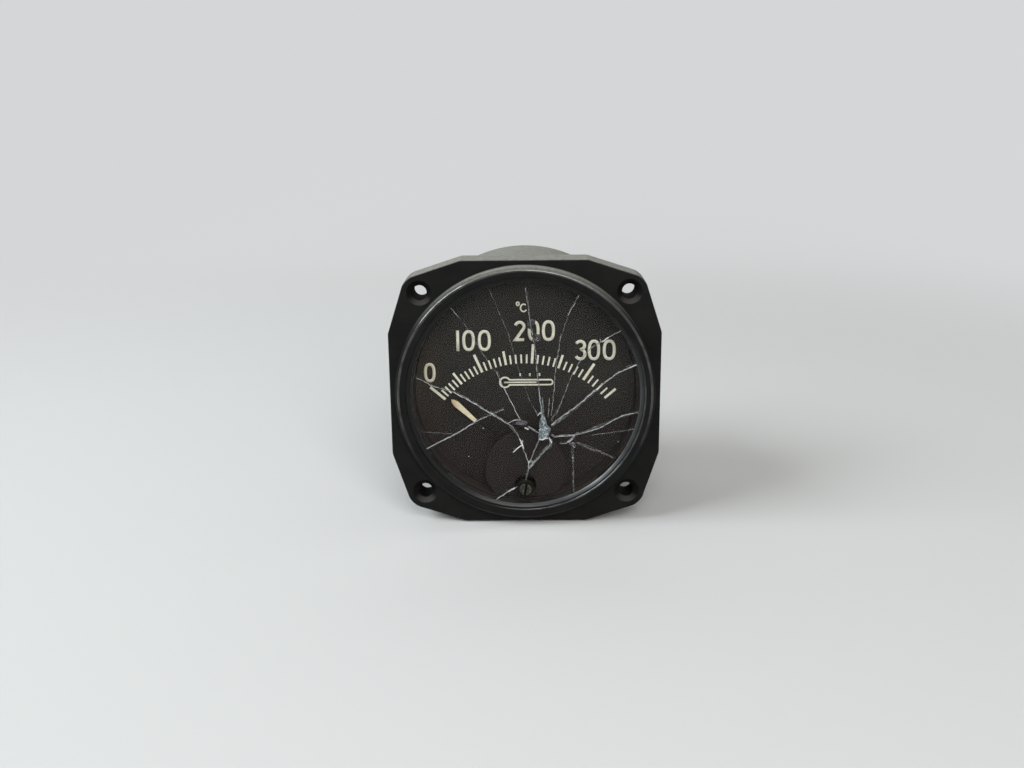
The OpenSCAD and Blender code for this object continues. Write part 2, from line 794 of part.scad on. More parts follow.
module front_staff() {
    r = staff_d / 2;
    color([0.70, 0.70, 0.72]) at_axle() turned() polygon([
        [0, winding_front], [former_in / 2, winding_front], [former_in / 2, winding_front - staff_foot_t],
        [r, winding_front - staff_foot_t], [r, spring_rear], [collet_d / 2, spring_rear],
        [collet_d / 2, spring_front], [r, spring_front], [r, spring_front - run],
        [pivot_d / 2, spring_front - 2 * run], [pivot_d / 2, bridge_rear - pivot_l],
        [0, bridge_rear - pivot_l]]);
}

module rear_staff() {
    r = staff_d / 2;
    color([0.70, 0.70, 0.72]) at_axle() turned() polygon([
        [0, winding_rear], [former_in / 2, winding_rear], [former_in / 2, winding_rear + staff_foot_t],
        [r, winding_rear + staff_foot_t], [r, rear_spring_front], [collet_d / 2, rear_spring_front],
        [collet_d / 2, rear_spring_rear], [r, rear_spring_rear], [r, rear_staff_end - run],
        [pivot_d / 2, rear_staff_end], [pivot_d / 2, rear_bridge_front + pivot_l],
        [0, rear_bridge_front + pivot_l]]);
}

// A rectangular loop round the core, its long sides in the air gap
module coil_loop(inner, wall, width) {
    y0 = magnet_front - (inner - core_r);
    y1 = magnet_rear + (inner - core_r);
    at_axle() rotate([0, -(rest_angle - 90), 0]) translate([0, 0, -width / 2]) linear_extrude(width)
        difference() {
            area(-inner - wall, y0 - wall, inner + wall, y1 + wall);
            area(-inner, y0, inner, y1);
        }
}

module coil_former() {
    lip = 0.1;
    color([0.78, 0.78, 0.80]) coil_loop(former_in, former_t, winding_w + 2 * lip);
}

module coil_winding() {
    color([0.55, 0.25, 0.12]) coil_loop(winding_in, winding_t, winding_w);
}

// A flat spiral strip from an inner to an outer radius, ending at an angle
function spiral_point(inner, outer, turns, last, i, side) =
    let (share = i / (turns * spiral_steps),
         r = inner + (outer - inner) * share + side,
         a = last - 360 * turns * (1 - share))
    r * [cos(a), sin(a)];

function spiral_gap(inner, outer, turns, last, thick) =
    min([for (i = [0 : (turns - 1) * spiral_steps])
        norm(spiral_point(inner, outer, turns, last, i + spiral_steps, 0)
            - spiral_point(inner, outer, turns, last, i, 0))]) - thick;

module spiral(inner, outer, turns, last, thick) {
    n = turns * spiral_steps;
    polygon(concat(
        [for (i = [0:n]) spiral_point(inner, outer, turns, last, i, thick / 2)],
        [for (i = [n:-1:0]) spiral_point(inner, outer, turns, last, i, -thick / 2)]));
}

spring_in = collet_d / 2 + run + spring_t / 2;
echo(hairspring_least_gap = spiral_gap(spring_in, spring_r, spring_turns, 90, spring_t));
bimetal_wall = 0.8;
bimetal_root = 0.1;
bimetal_hub_r = jewel_d / 2 + bimetal_wall;
bimetal_in = bimetal_hub_r + bimetal_t / 2 - bimetal_root;
echo(bimetal_least_gap = spiral_gap(bimetal_in, bimetal_r, bimetal_turns, 90, bimetal_t));

module front_hairspring() {
    color([0.70, 0.50, 0.25]) at_axle() sheet(spring_front, spring_rear)
        spiral(spring_in, spring_r, spring_turns, 90, spring_t);
}

module rear_hairspring() {
    color([0.70, 0.50, 0.25]) at_axle() sheet(rear_spring_front, rear_spring_rear)
        spiral(spring_in, spring_r, spring_turns, 90, spring_t);
}

// The corrector turns on the bridge's boss, with a fork below and the spring's tab above
module zero_corrector() {
    prong_w = 0.9;
    fork_end = fork_reach + prong_w;
    hub_wall = 1.1;
    fork_w = fork_slot_w + 2 * prong_w;
    tab_r = spring_r + spring_t / 2;
    hub_r = boss_d / 2 + hub_wall;
    color([0.75, 0.62, 0.36]) at_axle() {
        sheet(corrector_front, corrector_rear) difference() {
            union() {
                circle(hub_r);
                area(-fork_w / 2, -fork_end, fork_w / 2, 0);
                area(-tab_w / 2, 0, tab_w / 2, tab_r + tab_t);
            }
            circle(boss_d / 2 + run);
            area(-fork_slot_w / 2, -fork_end - cut, fork_slot_w / 2, -zero_drop + zero_pin_d / 2);
        }
        translate([-tab_w / 2, corrector_front, tab_r])
            cube([tab_w, spring_rear - corrector_front, tab_t]);
    }
}

// The end of each bridge is rounded about its post
module bridge_outline(reach) {
    difference() {
        union() {
            area(-reach, -bridge_w / 2, reach, bridge_w / 2);
            translate([reach, 0]) circle(bridge_w / 2);
            translate([-reach, 0]) circle(bridge_w / 2);
        }
        circle(jewel_d / 2 + fit);
        both_sides() translate([reach, 0]) circle(small_screw_d / 2 + fit);
    }
}

module front_bridge() {
    color([0.09, 0.09, 0.09]) at_axle() {
        sheet(bridge_front, bridge_rear) bridge_outline(post_x);
        tube(boss_d / 2, jewel_d / 2 + fit, boss_front, bridge_front + bridge_t / 2);
    }
}

module bridge_posts() {
    color([0.72, 0.60, 0.35]) at_axle() both_sides() translate([post_x, 0, 0]) difference() {
        union() {
            rod(post_d / 2, bridge_rear, magnet_front);
            rod(small_screw_d / 2, magnet_front - cut, magnet_front + post_spigot);
        }
        rod(small_screw_d / 2 + fit, bridge_rear - cut, bridge_rear + small_grip + 4 * fit);
    }
}

foot_out = 2.6;
foot_edge = 1.8;
rear_foot_x = post_x + foot_out;

// Two screws in the front bridge and two in the feet of the rear bridge
module bridge_screws() {
    foot_face = plate_rear + bridge_t;
    color([0.30, 0.28, 0.25]) at_axle() both_sides() {
        translate([post_x, 0, 0])
            front_screw(small_screw_d, small_head_d, small_head_t, bridge_front, bridge_rear + small_grip);
        translate([rear_foot_x, 0, 0]) mirror([0, 1, 0])
            front_screw(small_screw_d, small_head_d, small_head_t, -foot_face, -magnet_rear);
    }
}

// A jewel screw: slotted outside, with the cup for the pivot at its inner end
module jewel_screw(outer_end, inner_end, way) {
    slot = 0.4;
    cup_play = 0.2;
    cup = pivot_l + cup_play;
    difference() {
        rod(jewel_d / 2, min(outer_end, inner_end), max(outer_end, inner_end));
        rod(pivot_d / 2 + run, min(inner_end + way * cut, inner_end - way * cup),
            max(inner_end + way * cut, inner_end - way * cup));
        translate([-jewel_d, min(outer_end - way * cut, outer_end + way * slot), -slot / 2])
            cube([2 * jewel_d, cut + slot, slot]);
    }
}

module front_jewel_screw() {
    color([0.72, 0.62, 0.38]) at_axle() jewel_screw(jewel_front, bridge_rear, 1);
}

module rear_jewel_screw() {
    color([0.72, 0.62, 0.38]) at_axle() jewel_screw(bimetal_rear + jewel_stand, rear_bridge_front, -1);
}

module jewel_nuts() {
    color([0.72, 0.60, 0.35]) at_axle() {
        nut(jewel_nut_d, jewel_d, jewel_nut_front, boss_front);
        nut(jewel_nut_d, jewel_d, rear_bridge_rear, rear_nut_rear);
    }
}

// The rear bridge is a bent strip with a foot at each end
module rear_bridge() {
    foot_end = rear_foot_x + foot_edge;
    leg_x = post_x;
    color([0.72, 0.60, 0.35]) at_axle() difference() {
        translate([0, 0, -bridge_w / 2]) linear_extrude(bridge_w) {
            area(-leg_x, rear_bridge_front, leg_x, rear_bridge_rear);
            both_sides() {
                area(leg_x - bridge_t, plate_rear, leg_x, rear_bridge_rear);
                area(leg_x - bridge_t, plate_rear, foot_end, plate_rear + bridge_t);
            }
        }
        rod(jewel_d / 2 + fit, rear_bridge_front - cut, rear_bridge_rear + cut);
        both_sides() translate([rear_foot_x, 0, 0])
            rod(small_screw_d / 2 + fit, plate_rear - cut, plate_rear + bridge_t + cut);
    }
}

// A bimetal spiral on the rear jewel screw, its arm carrying the rear hairspring's end
module bimetal_spiral() {
    arm_in = spring_r + spring_t / 2;
    arm_out = bimetal_r + bimetal_t / 2;
    color([0.62, 0.60, 0.55]) at_axle() {
        tube(bimetal_hub_r, jewel_d / 2 + fit, bimetal_front, bimetal_rear);
        sheet(bimetal_front, bimetal_rear) spiral(bimetal_in, bimetal_r, bimetal_turns, 90, bimetal_t);
        translate([-tab_w / 2, rear_spring_front, arm_out - bimetal_t])
            cube([tab_w, bimetal_rear - rear_spring_front, tab_t]);
        translate([-tab_w / 2, rear_spring_front, arm_in])
            cube([tab_w, spring_h, arm_out - arm_in]);
    }
}

module magnet_outline() {
    leg_end = -pivot_drop - leg_reach;
    intersection() {
        union() {
            translate([0, -magnet_drop]) circle(magnet_r);
            area(-magnet_r, leg_end, magnet_r, -magnet_drop);
        }
        circle(chamber_r - magnet_room);
    }
}

module magnet() {
    leg_end = -pivot_drop - leg_reach;
    color([0.28, 0.29, 0.31]) sheet(magnet_front, magnet_rear) difference() {
        magnet_outline();
        translate([0, -magnet_drop]) circle(magnet_in);
        area(-magnet_in, -chamber_r, magnet_in, -magnet_drop);
        area(-magnet_r - cut, -chamber_r, magnet_r + cut, leg_end);
    }
}

module pole_screw_places() {
    at_axle() both_sides() for (z = [-pole_screw_z, pole_screw_z])
        translate([pole_screw_x, 0, z]) children();
}

strap_screw_x = 6;
strap_thread = 1.6;
core_thread = 2;
module strap_screw_places() {
    top = axle + pole_h / 2;
    both_sides() translate([strap_screw_x, magnet_front + magnet_t / 2, top]) children();
}

module pole_pieces() {
    tip_x = bore_r / 2;
    color([0.42, 0.42, 0.44]) difference() {
        at_axle() both_sides() difference() {
            sheet(magnet_front, magnet_rear) area(tip_x, -pole_h / 2, magnet_in, pole_h / 2);
            rod(bore_r, magnet_front - cut, magnet_rear + cut);
            translate([post_x, 0, 0])
                rod(small_screw_d / 2 + fit, magnet_front - cut, magnet_front + post_spigot + 4 * fit);
        }
        pole_screw_places() rod(small_screw_d / 2 + fit, magnet_front - cut, magnet_rear + cut);
        strap_screw_places() translate([0, 0, -strap_thread - 2 * fit])
            cylinder(h = strap_thread + cut, r = small_screw_d / 2 + fit);
    }
}

module pole_screws() {
    color([0.30, 0.28, 0.25]) pole_screw_places()
        front_screw(small_screw_d, small_head_d, small_head_t, magnet_front, plate_rear);
}

module core() {
    color([0.45, 0.45, 0.47]) at_axle() difference() {
        rod(core_r, magnet_front, magnet_rear);
        translate([0, magnet_front + magnet_t / 2, core_r - core_thread])
            cylinder(h = core_thread + cut, r = core_screw_d / 2 + fit);
    }
}

module core_strap() {
    y = magnet_front + magnet_t / 2;
    inset = 1;
    depth = magnet_t - 2 * inset;
    color([0.72, 0.60, 0.35]) difference() {
        translate([-strap_l / 2, y - depth / 2, axle + pole_h / 2]) cube([strap_l, depth, strap_t]);
        translate([0, y, axle]) cylinder(h = pole_h, r = core_screw_d / 2 + fit);
        strap_screw_places() translate([0, 0, -cut])
            cylinder(h = strap_t + 2 * cut, r = small_screw_d / 2 + fit);
    }
}

// A slotted screw that points down, its head's lower face at the origin
module down_screw(d, head_d, head_t, shank) {
    slot_w = d * slot_share;
    difference() {
        union() {
            cylinder(h = head_t, r = head_d / 2);
            translate([0, 0, -shank]) cylinder(h = shank + head_t / 2, r = d / 2);
        }
        translate([-head_d, -slot_w / 2, head_t / 2]) cube([2 * head_d, slot_w, head_t]);
    }
}

module core_screw() {
    top = axle + pole_h / 2 + strap_t;
    color([0.72, 0.62, 0.38]) translate([0, magnet_front + magnet_t / 2, top])
        down_screw(core_screw_d, small_head_d, small_head_t, top - axle - core_r + core_thread - 4 * fit);
}

module strap_screws() {
    color([0.30, 0.28, 0.25]) strap_screw_places() translate([0, 0, strap_t])
        down_screw(small_screw_d, small_head_d, small_head_t, strap_t + strap_thread);
}

clamp_z = -magnet_drop + magnet_in - clamp_pillar_d / 2 - 0.8;
clamp_foot = 1;
module magnet_clamp() {
    color([0.72, 0.60, 0.35]) difference() {
        translate([-clamp_w / 2, magnet_front - clamp_t, clamp_z - clamp_foot])
            cube([clamp_w, clamp_t, clamp_h]);
        translate([0, 0, clamp_z])
            rod(pillar_screw_d / 2 + fit, magnet_front - clamp_t - cut, magnet_front + cut);
    }
}

module clamp_pillar() {
    color([0.74, 0.74, 0.76]) translate([0, 0, clamp_z])
        tube(clamp_pillar_d / 2, pillar_screw_d / 2 + fit, magnet_front, magnet_rear);
}

module clamp_screw() {
    color([0.30, 0.28, 0.25]) translate([0, 0, clamp_z])
        front_screw(pillar_screw_d, pillar_head_d, pillar_head_t, magnet_front - clamp_t, plate_rear);
}

module movement_plate() {
    y0 = magnet_rear - cut;
    y1 = plate_rear + cut;
    bore_room = 0.6;
    lead_room = 0.3;
    color([0.70, 0.70, 0.68]) difference() {
        rod(plate_r, magnet_rear, plate_rear);
        at_axle() rod(bore_r + bore_room, y0, y1);
        at_pillars() rod(pillar_screw_d / 2 + fit, y0, y1);
        translate([0, 0, clamp_z]) rod(pillar_screw_d / 2 + fit, y0, y1);
        pole_screw_places() rod(small_screw_d / 2 + fit, y0, y1);
        at_axle() both_sides() translate([rear_foot_x, 0, 0]) rod(small_screw_d / 2 + fit, y0, y1);
        translate([bobbin_x, 0, bobbin_z]) rod(small_screw_d / 2 + fit, y0, y1);
        translate([feed_x, 0, feed_z]) rod(lead_d / 2 + lead_room, y0, y1);
        translate([return_x, 0, return_z]) rod(lead_d / 2 + lead_room, y0, y1);
        translate([-bobbin_x, 0, bobbin_z]) rod(bobbin_d / 2, y0, y1);
    }
}

module support_pillars() {
    color([0.74, 0.74, 0.76]) at_pillars()
        tube(pillar_d / 2, pillar_screw_d / 2 + fit, plate_rear, chamber_rear);
}

module plate_screws() {
    color([0.30, 0.28, 0.25]) at_pillars()
        front_screw(pillar_screw_d, pillar_head_d, pillar_head_t, magnet_rear, plate_rear + pillar_grip);
}

module rear_screws() {
    seat = body_l - pillar_head_t - 2 * fit;
    color([0.30, 0.29, 0.28]) at_pillars() mirror([0, 1, 0])
        front_screw(pillar_screw_d, pillar_head_d, pillar_head_t, -seat, pillar_grip - chamber_rear);
}

module at_bobbin() {
    translate([bobbin_x, 0, bobbin_z]) children();
}

module resistor_bobbin() {
    y0 = magnet_rear - bobbin_l;
    color([0.45, 0.25, 0.12]) at_bobbin() turned() polygon([
        [small_screw_d / 2 + fit, y0], [bobbin_d / 2, y0], [bobbin_d / 2, y0 + bobbin_flange_t],
        [bobbin_core_d / 2, y0 + bobbin_flange_t], [bobbin_core_d / 2, magnet_rear - bobbin_flange_t],
        [bobbin_d / 2, magnet_rear - bobbin_flange_t], [bobbin_d / 2, magnet_rear],
        [small_screw_d / 2 + fit, magnet_rear]]);
}

module resistor_winding() {
    color([0.40, 0.33, 0.20]) at_bobbin() tube(resistor_d / 2, bobbin_core_d / 2 + fit,
        magnet_rear - bobbin_l + bobbin_flange_t + fit, magnet_rear - bobbin_flange_t - fit);
}

module bobbin_screw() {
    color([0.30, 0.28, 0.25]) at_bobbin()
        front_screw(small_screw_d, small_head_d, small_head_t, magnet_rear - bobbin_l, plate_rear);
}

// A wire of round section through a list of points, its ends square to the path
lead_sides = 10;
function unit(v) = v / norm(v);
function heading(path, i) =
    i == 0 ? unit(path[1] - path[0])
    : i == len(path) - 1 ? unit(path[i] - path[i - 1])
    : unit(unit(path[i] - path[i - 1]) + unit(path[i + 1] - path[i]));
function lead_ring(path, i) =
    let (h = heading(path, i), u = unit(cross(h, [1, 0.2, 0])), v = cross(h, u))
    [for (s = [0 : lead_sides - 1])
        path[i] + lead_d / 2 * (cos(360 * s / lead_sides) * u + sin(360 * s / lead_sides) * v)];
function bezier(a, b, c, d, t) =
    pow(1 - t, 3) * a + 3 * t * pow(1 - t, 2) * b + 3 * t * t * (1 - t) * c + pow(t, 3) * d;

module wire(path) {
    last = len(path) - 1;
    points = [for (i = [0:last], p = lead_ring(path, i)) p];
    walls = [for (i = [0 : last - 1], s = [0 : lead_sides - 1])
        let (a = i * lead_sides + s, b = i * lead_sides + (s + 1) % lead_sides)
        each [[a, b, a + lead_sides], [b, b + lead_sides, a + lead_sides]]];
    first_cap = [for (s = [1 : lead_sides - 2]) [0, s + 1, s]];
    end = last * lead_sides;
    last_cap = [for (s = [1 : lead_sides - 2]) [end, end + s, end + s + 1]];
    polyhedron(points = points, faces = concat(walls, first_cap, last_cap), convexity = 6);
}

// A lead leaves its first end along one direction and arrives along another
lead_steps = 14;
module lead(from, leave, arrive, to) {
    wire([for (i = [0:lead_steps]) bezier(from, from + leave, to - arrive, to, i / lead_steps)]);
}

tag_front = chamber_rear - tag_t;
tag_eye_edge = 1.4;
tag_end_z = tag_l - tag_eye_edge;
solder_t = 0.15;

// From the positive tag through the plate to the resistor's winding
module lead_positive() {
    hole = [feed_x, plate_rear + lead_d, feed_z];
    winding_side = [bobbin_x - resistor_d / 2 - lead_d / 2, magnet_rear - bobbin_l / 2, bobbin_z];
    straight = [0, -lead_pull, 0];
    color([0.55, 0.10, 0.08]) {
        lead([stud_spacing / 2, tag_front - solder_t, tag_end_z], straight, straight, hole);
        lead(hole, straight, lead_d * [1, -1, 0], winding_side);
    }
}

// From the resistor's winding back through the plate to the arm of the bimetal spiral
module lead_resistor() {
    hole = [return_x, plate_rear + lead_d, return_z];
    winding_foot = [bobbin_x, magnet_rear - bobbin_l / 2, bobbin_z - resistor_d / 2 - lead_d / 2];
    arm_z = axle + bimetal_r + bimetal_t / 2 + tab_t;
    color([0.12, 0.12, 0.12]) {
        lead(winding_foot, lead_pull * [0.1, 0.1, -0.45], [0, lead_pull / 3, 0], hole);
        lead(hole, lead_pull * [0, 0.45, -0.65], lead_pull * [-0.8, 0.1, -0.65],
            [tab_w / 2, bimetal_front + bimetal_h / 2, arm_z + lead_d / 2]);
    }
}

// From the negative tag to the movement plate
module lead_negative() {
    straight = [0, -lead_pull, 0];
    color([0.12, 0.12, 0.12])
        lead([-stud_spacing / 2, tag_front - solder_t, tag_end_z], straight, straight / 2,
            [-earth_x, plate_rear + solder_t, earth_z]);
}

// On each stud, a washer and a nut hold the stud, and a second pair holds the outside lead
nut_fronts = [body_l + washer_t, body_l + 2 * washer_t + nut_t];

// A terminal stud with its hexagon head inside the case. Its thread has the pitch diameter
// inside the nuts and the outer diameter where it is free.
module stud(d, pitch_d, head_d) {
    tip = body_l + stud_out;
    bevel = 0.5;
    root = tag_front - stud_head_t / 2;
    sheet(tag_front - stud_head_t, tag_front) circle(d = head_d, $fn = 6);
    turned() polygon(concat(
        [[0, root], [d / 2, root]],
        [for (y = nut_fronts) each
            [[d / 2, y], [pitch_d / 2, y], [pitch_d / 2, y + nut_t], [d / 2, y + nut_t]]],
        [[d / 2, tip - bevel], [d / 2 - bevel, tip], [0, tip]]));
}

module at_plus() {
    translate([stud_spacing / 2, 0, 0]) children();
}

module at_minus() {
    translate([-stud_spacing / 2, 0, 0]) children();
}

module stud_positive() {
    color([0.72, 0.68, 0.58]) at_plus() stud(stud_plus_d, stud_plus_pitch_d, nut_plus_d);
}

module stud_negative() {
    color([0.66, 0.64, 0.58]) at_minus() stud(stud_minus_d, stud_minus_pitch_d, nut_minus_d);
}

module terminal_nuts(nut_d, pitch_d) {
    for (y = nut_fronts) nut(nut_d, pitch_d, y, y + nut_t);
}

module terminal_washers(outer_d, bore_d) {
    for (y = nut_fronts) tube(outer_d / 2, bore_d / 2 + fit, y - washer_t, y);
}

module nuts_positive() {
    color([0.70, 0.66, 0.55]) at_plus() terminal_nuts(nut_plus_d, stud_plus_pitch_d);
}

module nuts_negative() {
    color([0.70, 0.66, 0.55]) at_minus() terminal_nuts(nut_minus_d, stud_minus_pitch_d);
}

module washers_positive() {
    color([0.74, 0.72, 0.66]) at_plus() terminal_washers(washer_plus_d, stud_plus_d);
}

module washers_negative() {
    color([0.74, 0.72, 0.66]) at_minus() terminal_washers(washer_minus_d, stud_minus_d);
}

module tag(nut_d, bore_d) {
    tail_w = 2.6;
    margin = 0.5;
    sheet(tag_front, chamber_rear) difference() {
        union() {
            circle(nut_d / 2 - margin);
            area(-tail_w / 2, 0, tail_w / 2, tag_l);
        }
        circle(bore_d / 2 + fit);
    }
}

module solder_tags() {
    color([0.78, 0.76, 0.68]) {
        at_plus() tag(nut_plus_d, stud_plus_d);
        at_minus() tag(nut_minus_d, stud_minus_d);
    }
}

case();
snap_ring();
cover_glass();
glass_gasket();
zero_bushing();
zero_bushing_nut();
zero_screw();
pivot_mask();
dial_plate();
dial_screws();
dial_posts();
pointer();
luminous_fill();
balance_cross();
balance_weights();
front_staff();
rear_staff();
coil_former();
coil_winding();
front_hairspring();
rear_hairspring();
zero_corrector();
front_bridge();
bridge_posts();
bridge_screws();
front_jewel_screw();
rear_bridge();
rear_jewel_screw();
jewel_nuts();
bimetal_spiral();
magnet();
pole_pieces();
pole_screws();
core();
core_strap();
core_screw();
strap_screws();
magnet_clamp();
clamp_pillar();
clamp_screw();
movement_plate();
support_pillars();
plate_screws();
rear_screws();
pointer_stops();
resistor_bobbin();
resistor_winding();
bobbin_screw();
lead_positive();
lead_resistor();
lead_negative();
stud_positive();
stud_negative();
nuts_positive();
nuts_negative();
washers_positive();
washers_negative();
solder_tags();
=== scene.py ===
import math
import random
from functools import reduce

import bmesh
import bpy
from mathutils import Matrix, Vector


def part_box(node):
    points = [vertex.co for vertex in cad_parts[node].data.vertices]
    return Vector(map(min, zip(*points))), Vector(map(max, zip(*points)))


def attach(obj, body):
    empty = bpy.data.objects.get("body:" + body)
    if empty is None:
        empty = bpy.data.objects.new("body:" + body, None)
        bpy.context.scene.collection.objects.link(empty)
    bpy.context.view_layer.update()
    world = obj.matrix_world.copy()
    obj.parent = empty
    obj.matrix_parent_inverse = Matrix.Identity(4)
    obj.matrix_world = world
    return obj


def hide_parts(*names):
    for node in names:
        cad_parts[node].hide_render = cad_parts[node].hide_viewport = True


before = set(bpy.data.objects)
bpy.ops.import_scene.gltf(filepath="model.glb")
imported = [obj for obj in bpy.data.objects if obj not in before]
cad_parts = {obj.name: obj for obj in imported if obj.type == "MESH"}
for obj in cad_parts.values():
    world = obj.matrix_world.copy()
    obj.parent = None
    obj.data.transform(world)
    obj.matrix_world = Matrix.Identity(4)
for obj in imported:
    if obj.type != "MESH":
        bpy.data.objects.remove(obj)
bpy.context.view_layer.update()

# The camera stands where the photograph was taken from: a third of a metre in front of the
# gauge and a little above it. Its place was fitted to the four screw holes and the ring.
camera_place = (0.0008, -0.3328, 0.0906)
look_down = math.radians(15.12)
look_left = math.radians(0.84)
camera_roll = math.radians(-0.61)
camera_data = bpy.data.cameras.new("camera")
camera_data.lens = 38.67
camera_data.sensor_width = 36
camera_data.clip_start = 0.01
camera = bpy.data.objects.new("camera", camera_data)
camera.matrix_world = (
    Matrix.Translation(camera_place)
    @ Matrix.Rotation(look_left, 4, "Z")
    @ Matrix.Rotation(math.pi / 2 - look_down, 4, "X")
    @ Matrix.Rotation(camera_roll, 4, "Z")
)
bpy.context.collection.objects.link(camera)
bpy.context.scene.camera = camera
bpy.context.scene.view_settings.view_transform = "Standard"


# The gauge leans back on the foot of its flange and the end of its body, so the floor slopes
# in its frame. It is a plain pale sheet that sweeps up behind the gauge into a backdrop.
mm = 0.001
floor_slope = 0.059
floor_play = 0.02 * mm
sweep_start = 0.34
sweep_radius = 0.16
sheet_front = -3.0
sheet_top = 1.3
sheet_half_width = 3.0
paper_colour = (0.55, 0.55, 0.54, 1)
wall_colour = (0.98, 0.99, 1.0, 1)
wall_strength = 0.68
fade_start = 0.17
fade_end = 0.50


def arc(x, y, radius, start, end, steps):
    """Points on an arc about (x, y), from one angle in degrees to another."""
    turns = [math.radians(start + (end - start) * i / steps) for i in range(steps + 1)]
    return [(x + radius * math.cos(a), y + radius * math.sin(a)) for a in turns]


def line_through(bm, points, closed=False):
    """New vertices at some points, and the edges that join them in a row."""
    corners = [bm.verts.new(point) for point in points]
    edges = [bm.edges.new(pair) for pair in zip(corners, corners[1:])]
    if closed:
        edges.append(bm.edges.new((corners[-1], corners[0])))
    return corners, edges


def pull(bm, parts, shift):
    """Extrudes some edges, or a face, and moves what is new by a shift."""
    if isinstance(parts[0], bmesh.types.BMFace):
        swept = bmesh.ops.extrude_face_region(bm, geom=parts)["geom"]
    else:
        swept = bmesh.ops.extrude_edge_only(bm, edges=parts)["geom"]
    moved = [part for part in swept if isinstance(part, bmesh.types.BMVert)]
    bmesh.ops.translate(bm, verts=moved, vec=shift)
    return swept


def make_object(name, bm):
    """A mesh object from a finished bmesh, its faces pointing outwards."""
    bmesh.ops.recalc_face_normals(bm, faces=bm.faces)
    mesh = bpy.data.meshes.new(name)
    bm.to_mesh(mesh)
    bm.free()
    made = bpy.data.objects.new(name, mesh)
    bpy.context.collection.objects.link(made)
    return made


def join(source, target):
    source.id_data.links.new(source, target)


def set_up(node, **values):
    """Sets a node's settings and, under a name with a capital, values or sources for its sockets."""
    for name, value in values.items():
        if name[0].islower():
            setattr(node, name, value)
        elif isinstance(value, bpy.types.NodeSocket):
            join(value, node.inputs[name.replace("_", " ")])
        else:
            node.inputs[name.replace("_", " ")].default_value = value
    return node


def plain_surface(name, **sockets):
    """A new material and its Principled surface, which has some of its sockets set."""
    material = bpy.data.materials.new(name)
    material.use_nodes = True
    return material, set_up(material.node_tree.nodes["Principled BSDF"], **sockets)


def add_node(beside, kind, **values):
    """One more node in the same tree as a node or a socket."""
    return set_up(beside.id_data.nodes.new("ShaderNode" + kind), **values)


def place_on(beside):
    """The place on the piece, in metres."""
    return add_node(beside, "TexCoord").outputs["Object"]


def spread(source, low, high, start=0.3, end=0.7, kind="LINEAR"):
    """Stretches a source from start and end to low and high."""
    return add_node(source, "MapRange", interpolation_type=kind, Value=source, From_Min=start,
                    From_Max=end, To_Min=low, To_Max=high).outputs["Result"]


def vector_math(source, way, second=(0, 0, 0)):
    made = add_node(source, "VectorMath", operation=way, Vector=source)
    made.inputs[1].default_value = second
    return made.outputs["Value" if way == "LENGTH" else "Vector"]


def combine(first, second, way="MULTIPLY"):
    made = add_node(first, "Math", operation=way, Value=first)
    join(second, made.inputs[1])
    return made.outputs[0]


def product(*sources):
    return reduce(combine, sources)


def mixed(factor, first, second):
    """Goes from the first shader to the second as the factor goes from 0 to 1."""
    made = add_node(factor, "MixShader")
    for source, target in zip((factor, first, second), made.inputs):
        join(source, target)
    return made.outputs[0]


def seen_rays(beside):
    """Is 1 for what the camera sees itself, in a gloss or through glass."""
    ray = add_node(beside, "LightPath")
    seen = ray.outputs["Is Camera Ray"]
    for kind in ("Is Glossy Ray", "Is Transmission Ray"):
        seen = combine(seen, ray.outputs[kind], "MAXIMUM")
    return seen


def pale_paper():
    """Plain paper, which far from the gauge is seen as bright as the wall."""
    material, surface = plain_surface("pale_paper", Base_Color=paper_colour, Roughness=0.85,
                                      Specular_IOR_Level=0.2)
    reach = vector_math(place_on(surface), "LENGTH")
    far = spread(reach, 0, 1, fade_start, fade_end, "SMOOTHSTEP")
    wall = add_node(surface, "Emission", Color=wall_colour, Strength=wall_strength)
    shown = mixed(product(far, seen_rays(surface)), surface.outputs[0], wall.outputs[0])
    join(shown, material.node_tree.nodes["Material Output"].inputs["Surface"])
    return material


def make_floor():
    bm = bmesh.new()
    path = [(sheet_front, 0)]
    path += arc(sweep_start, sweep_radius, sweep_radius, -90, 0, 24)
    path.append((sweep_start + sweep_radius, sheet_top))
    edges = line_through(bm, [(-sheet_half_width, y, z) for y, z in path])[1]
    pull(bm, edges, (2 * sheet_half_width, 0, 0))
    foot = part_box("case")[0].z - floor_play
    tilt = Matrix.Translation((0, 0, foot)) @ Matrix.Rotation(math.atan(floor_slope), 4, "X")
    bmesh.ops.transform(bm, matrix=tilt, verts=bm.verts)
    floor = make_object("floor", bm)
    floor.data.shade_smooth()
    floor.data.materials.append(pale_paper())


make_floor()


# Soft daylight comes from a window high on the left, and a large soft lamp stands in front.
# The world gives the even light of a pale room.
def soft_light(name, place, width, height, power, colour):
    data = bpy.data.lights.new(name, "AREA")
    data.shape = "RECTANGLE"
    data.size = width
    data.size_y = height
    data.energy = power
    data.color = colour
    light = bpy.data.objects.new(name, data)
    light.location = place
    light.rotation_euler = (-Vector(place)).to_track_quat("-Z", "Y").to_euler()
    bpy.context.collection.objects.link(light)


soft_light("window", (-1.00, -0.37, 0.82), 0.80, 0.65, 17, (0.90, 0.96, 1.0))
soft_light("front", (0.20, -1.10, 0.75), 0.80, 0.80, 14, (1.0, 0.99, 0.97))


def pale_room():
    """The world lights the gauge weakly, and shows as a pale wall behind it and in its metal."""
    room = bpy.data.worlds.new("room")
    bpy.context.scene.world = room
    room.use_nodes = True
    light = set_up(room.node_tree.nodes["Background"], Color=(0.90, 0.92, 0.95, 1), Strength=0.22)
    wall = add_node(light, "Background", Color=wall_colour, Strength=wall_strength)
    join(mixed(seen_rays(light), light.outputs[0], wall.outputs[0]),
         room.node_tree.nodes["World Output"].inputs["Surface"])


pale_room()


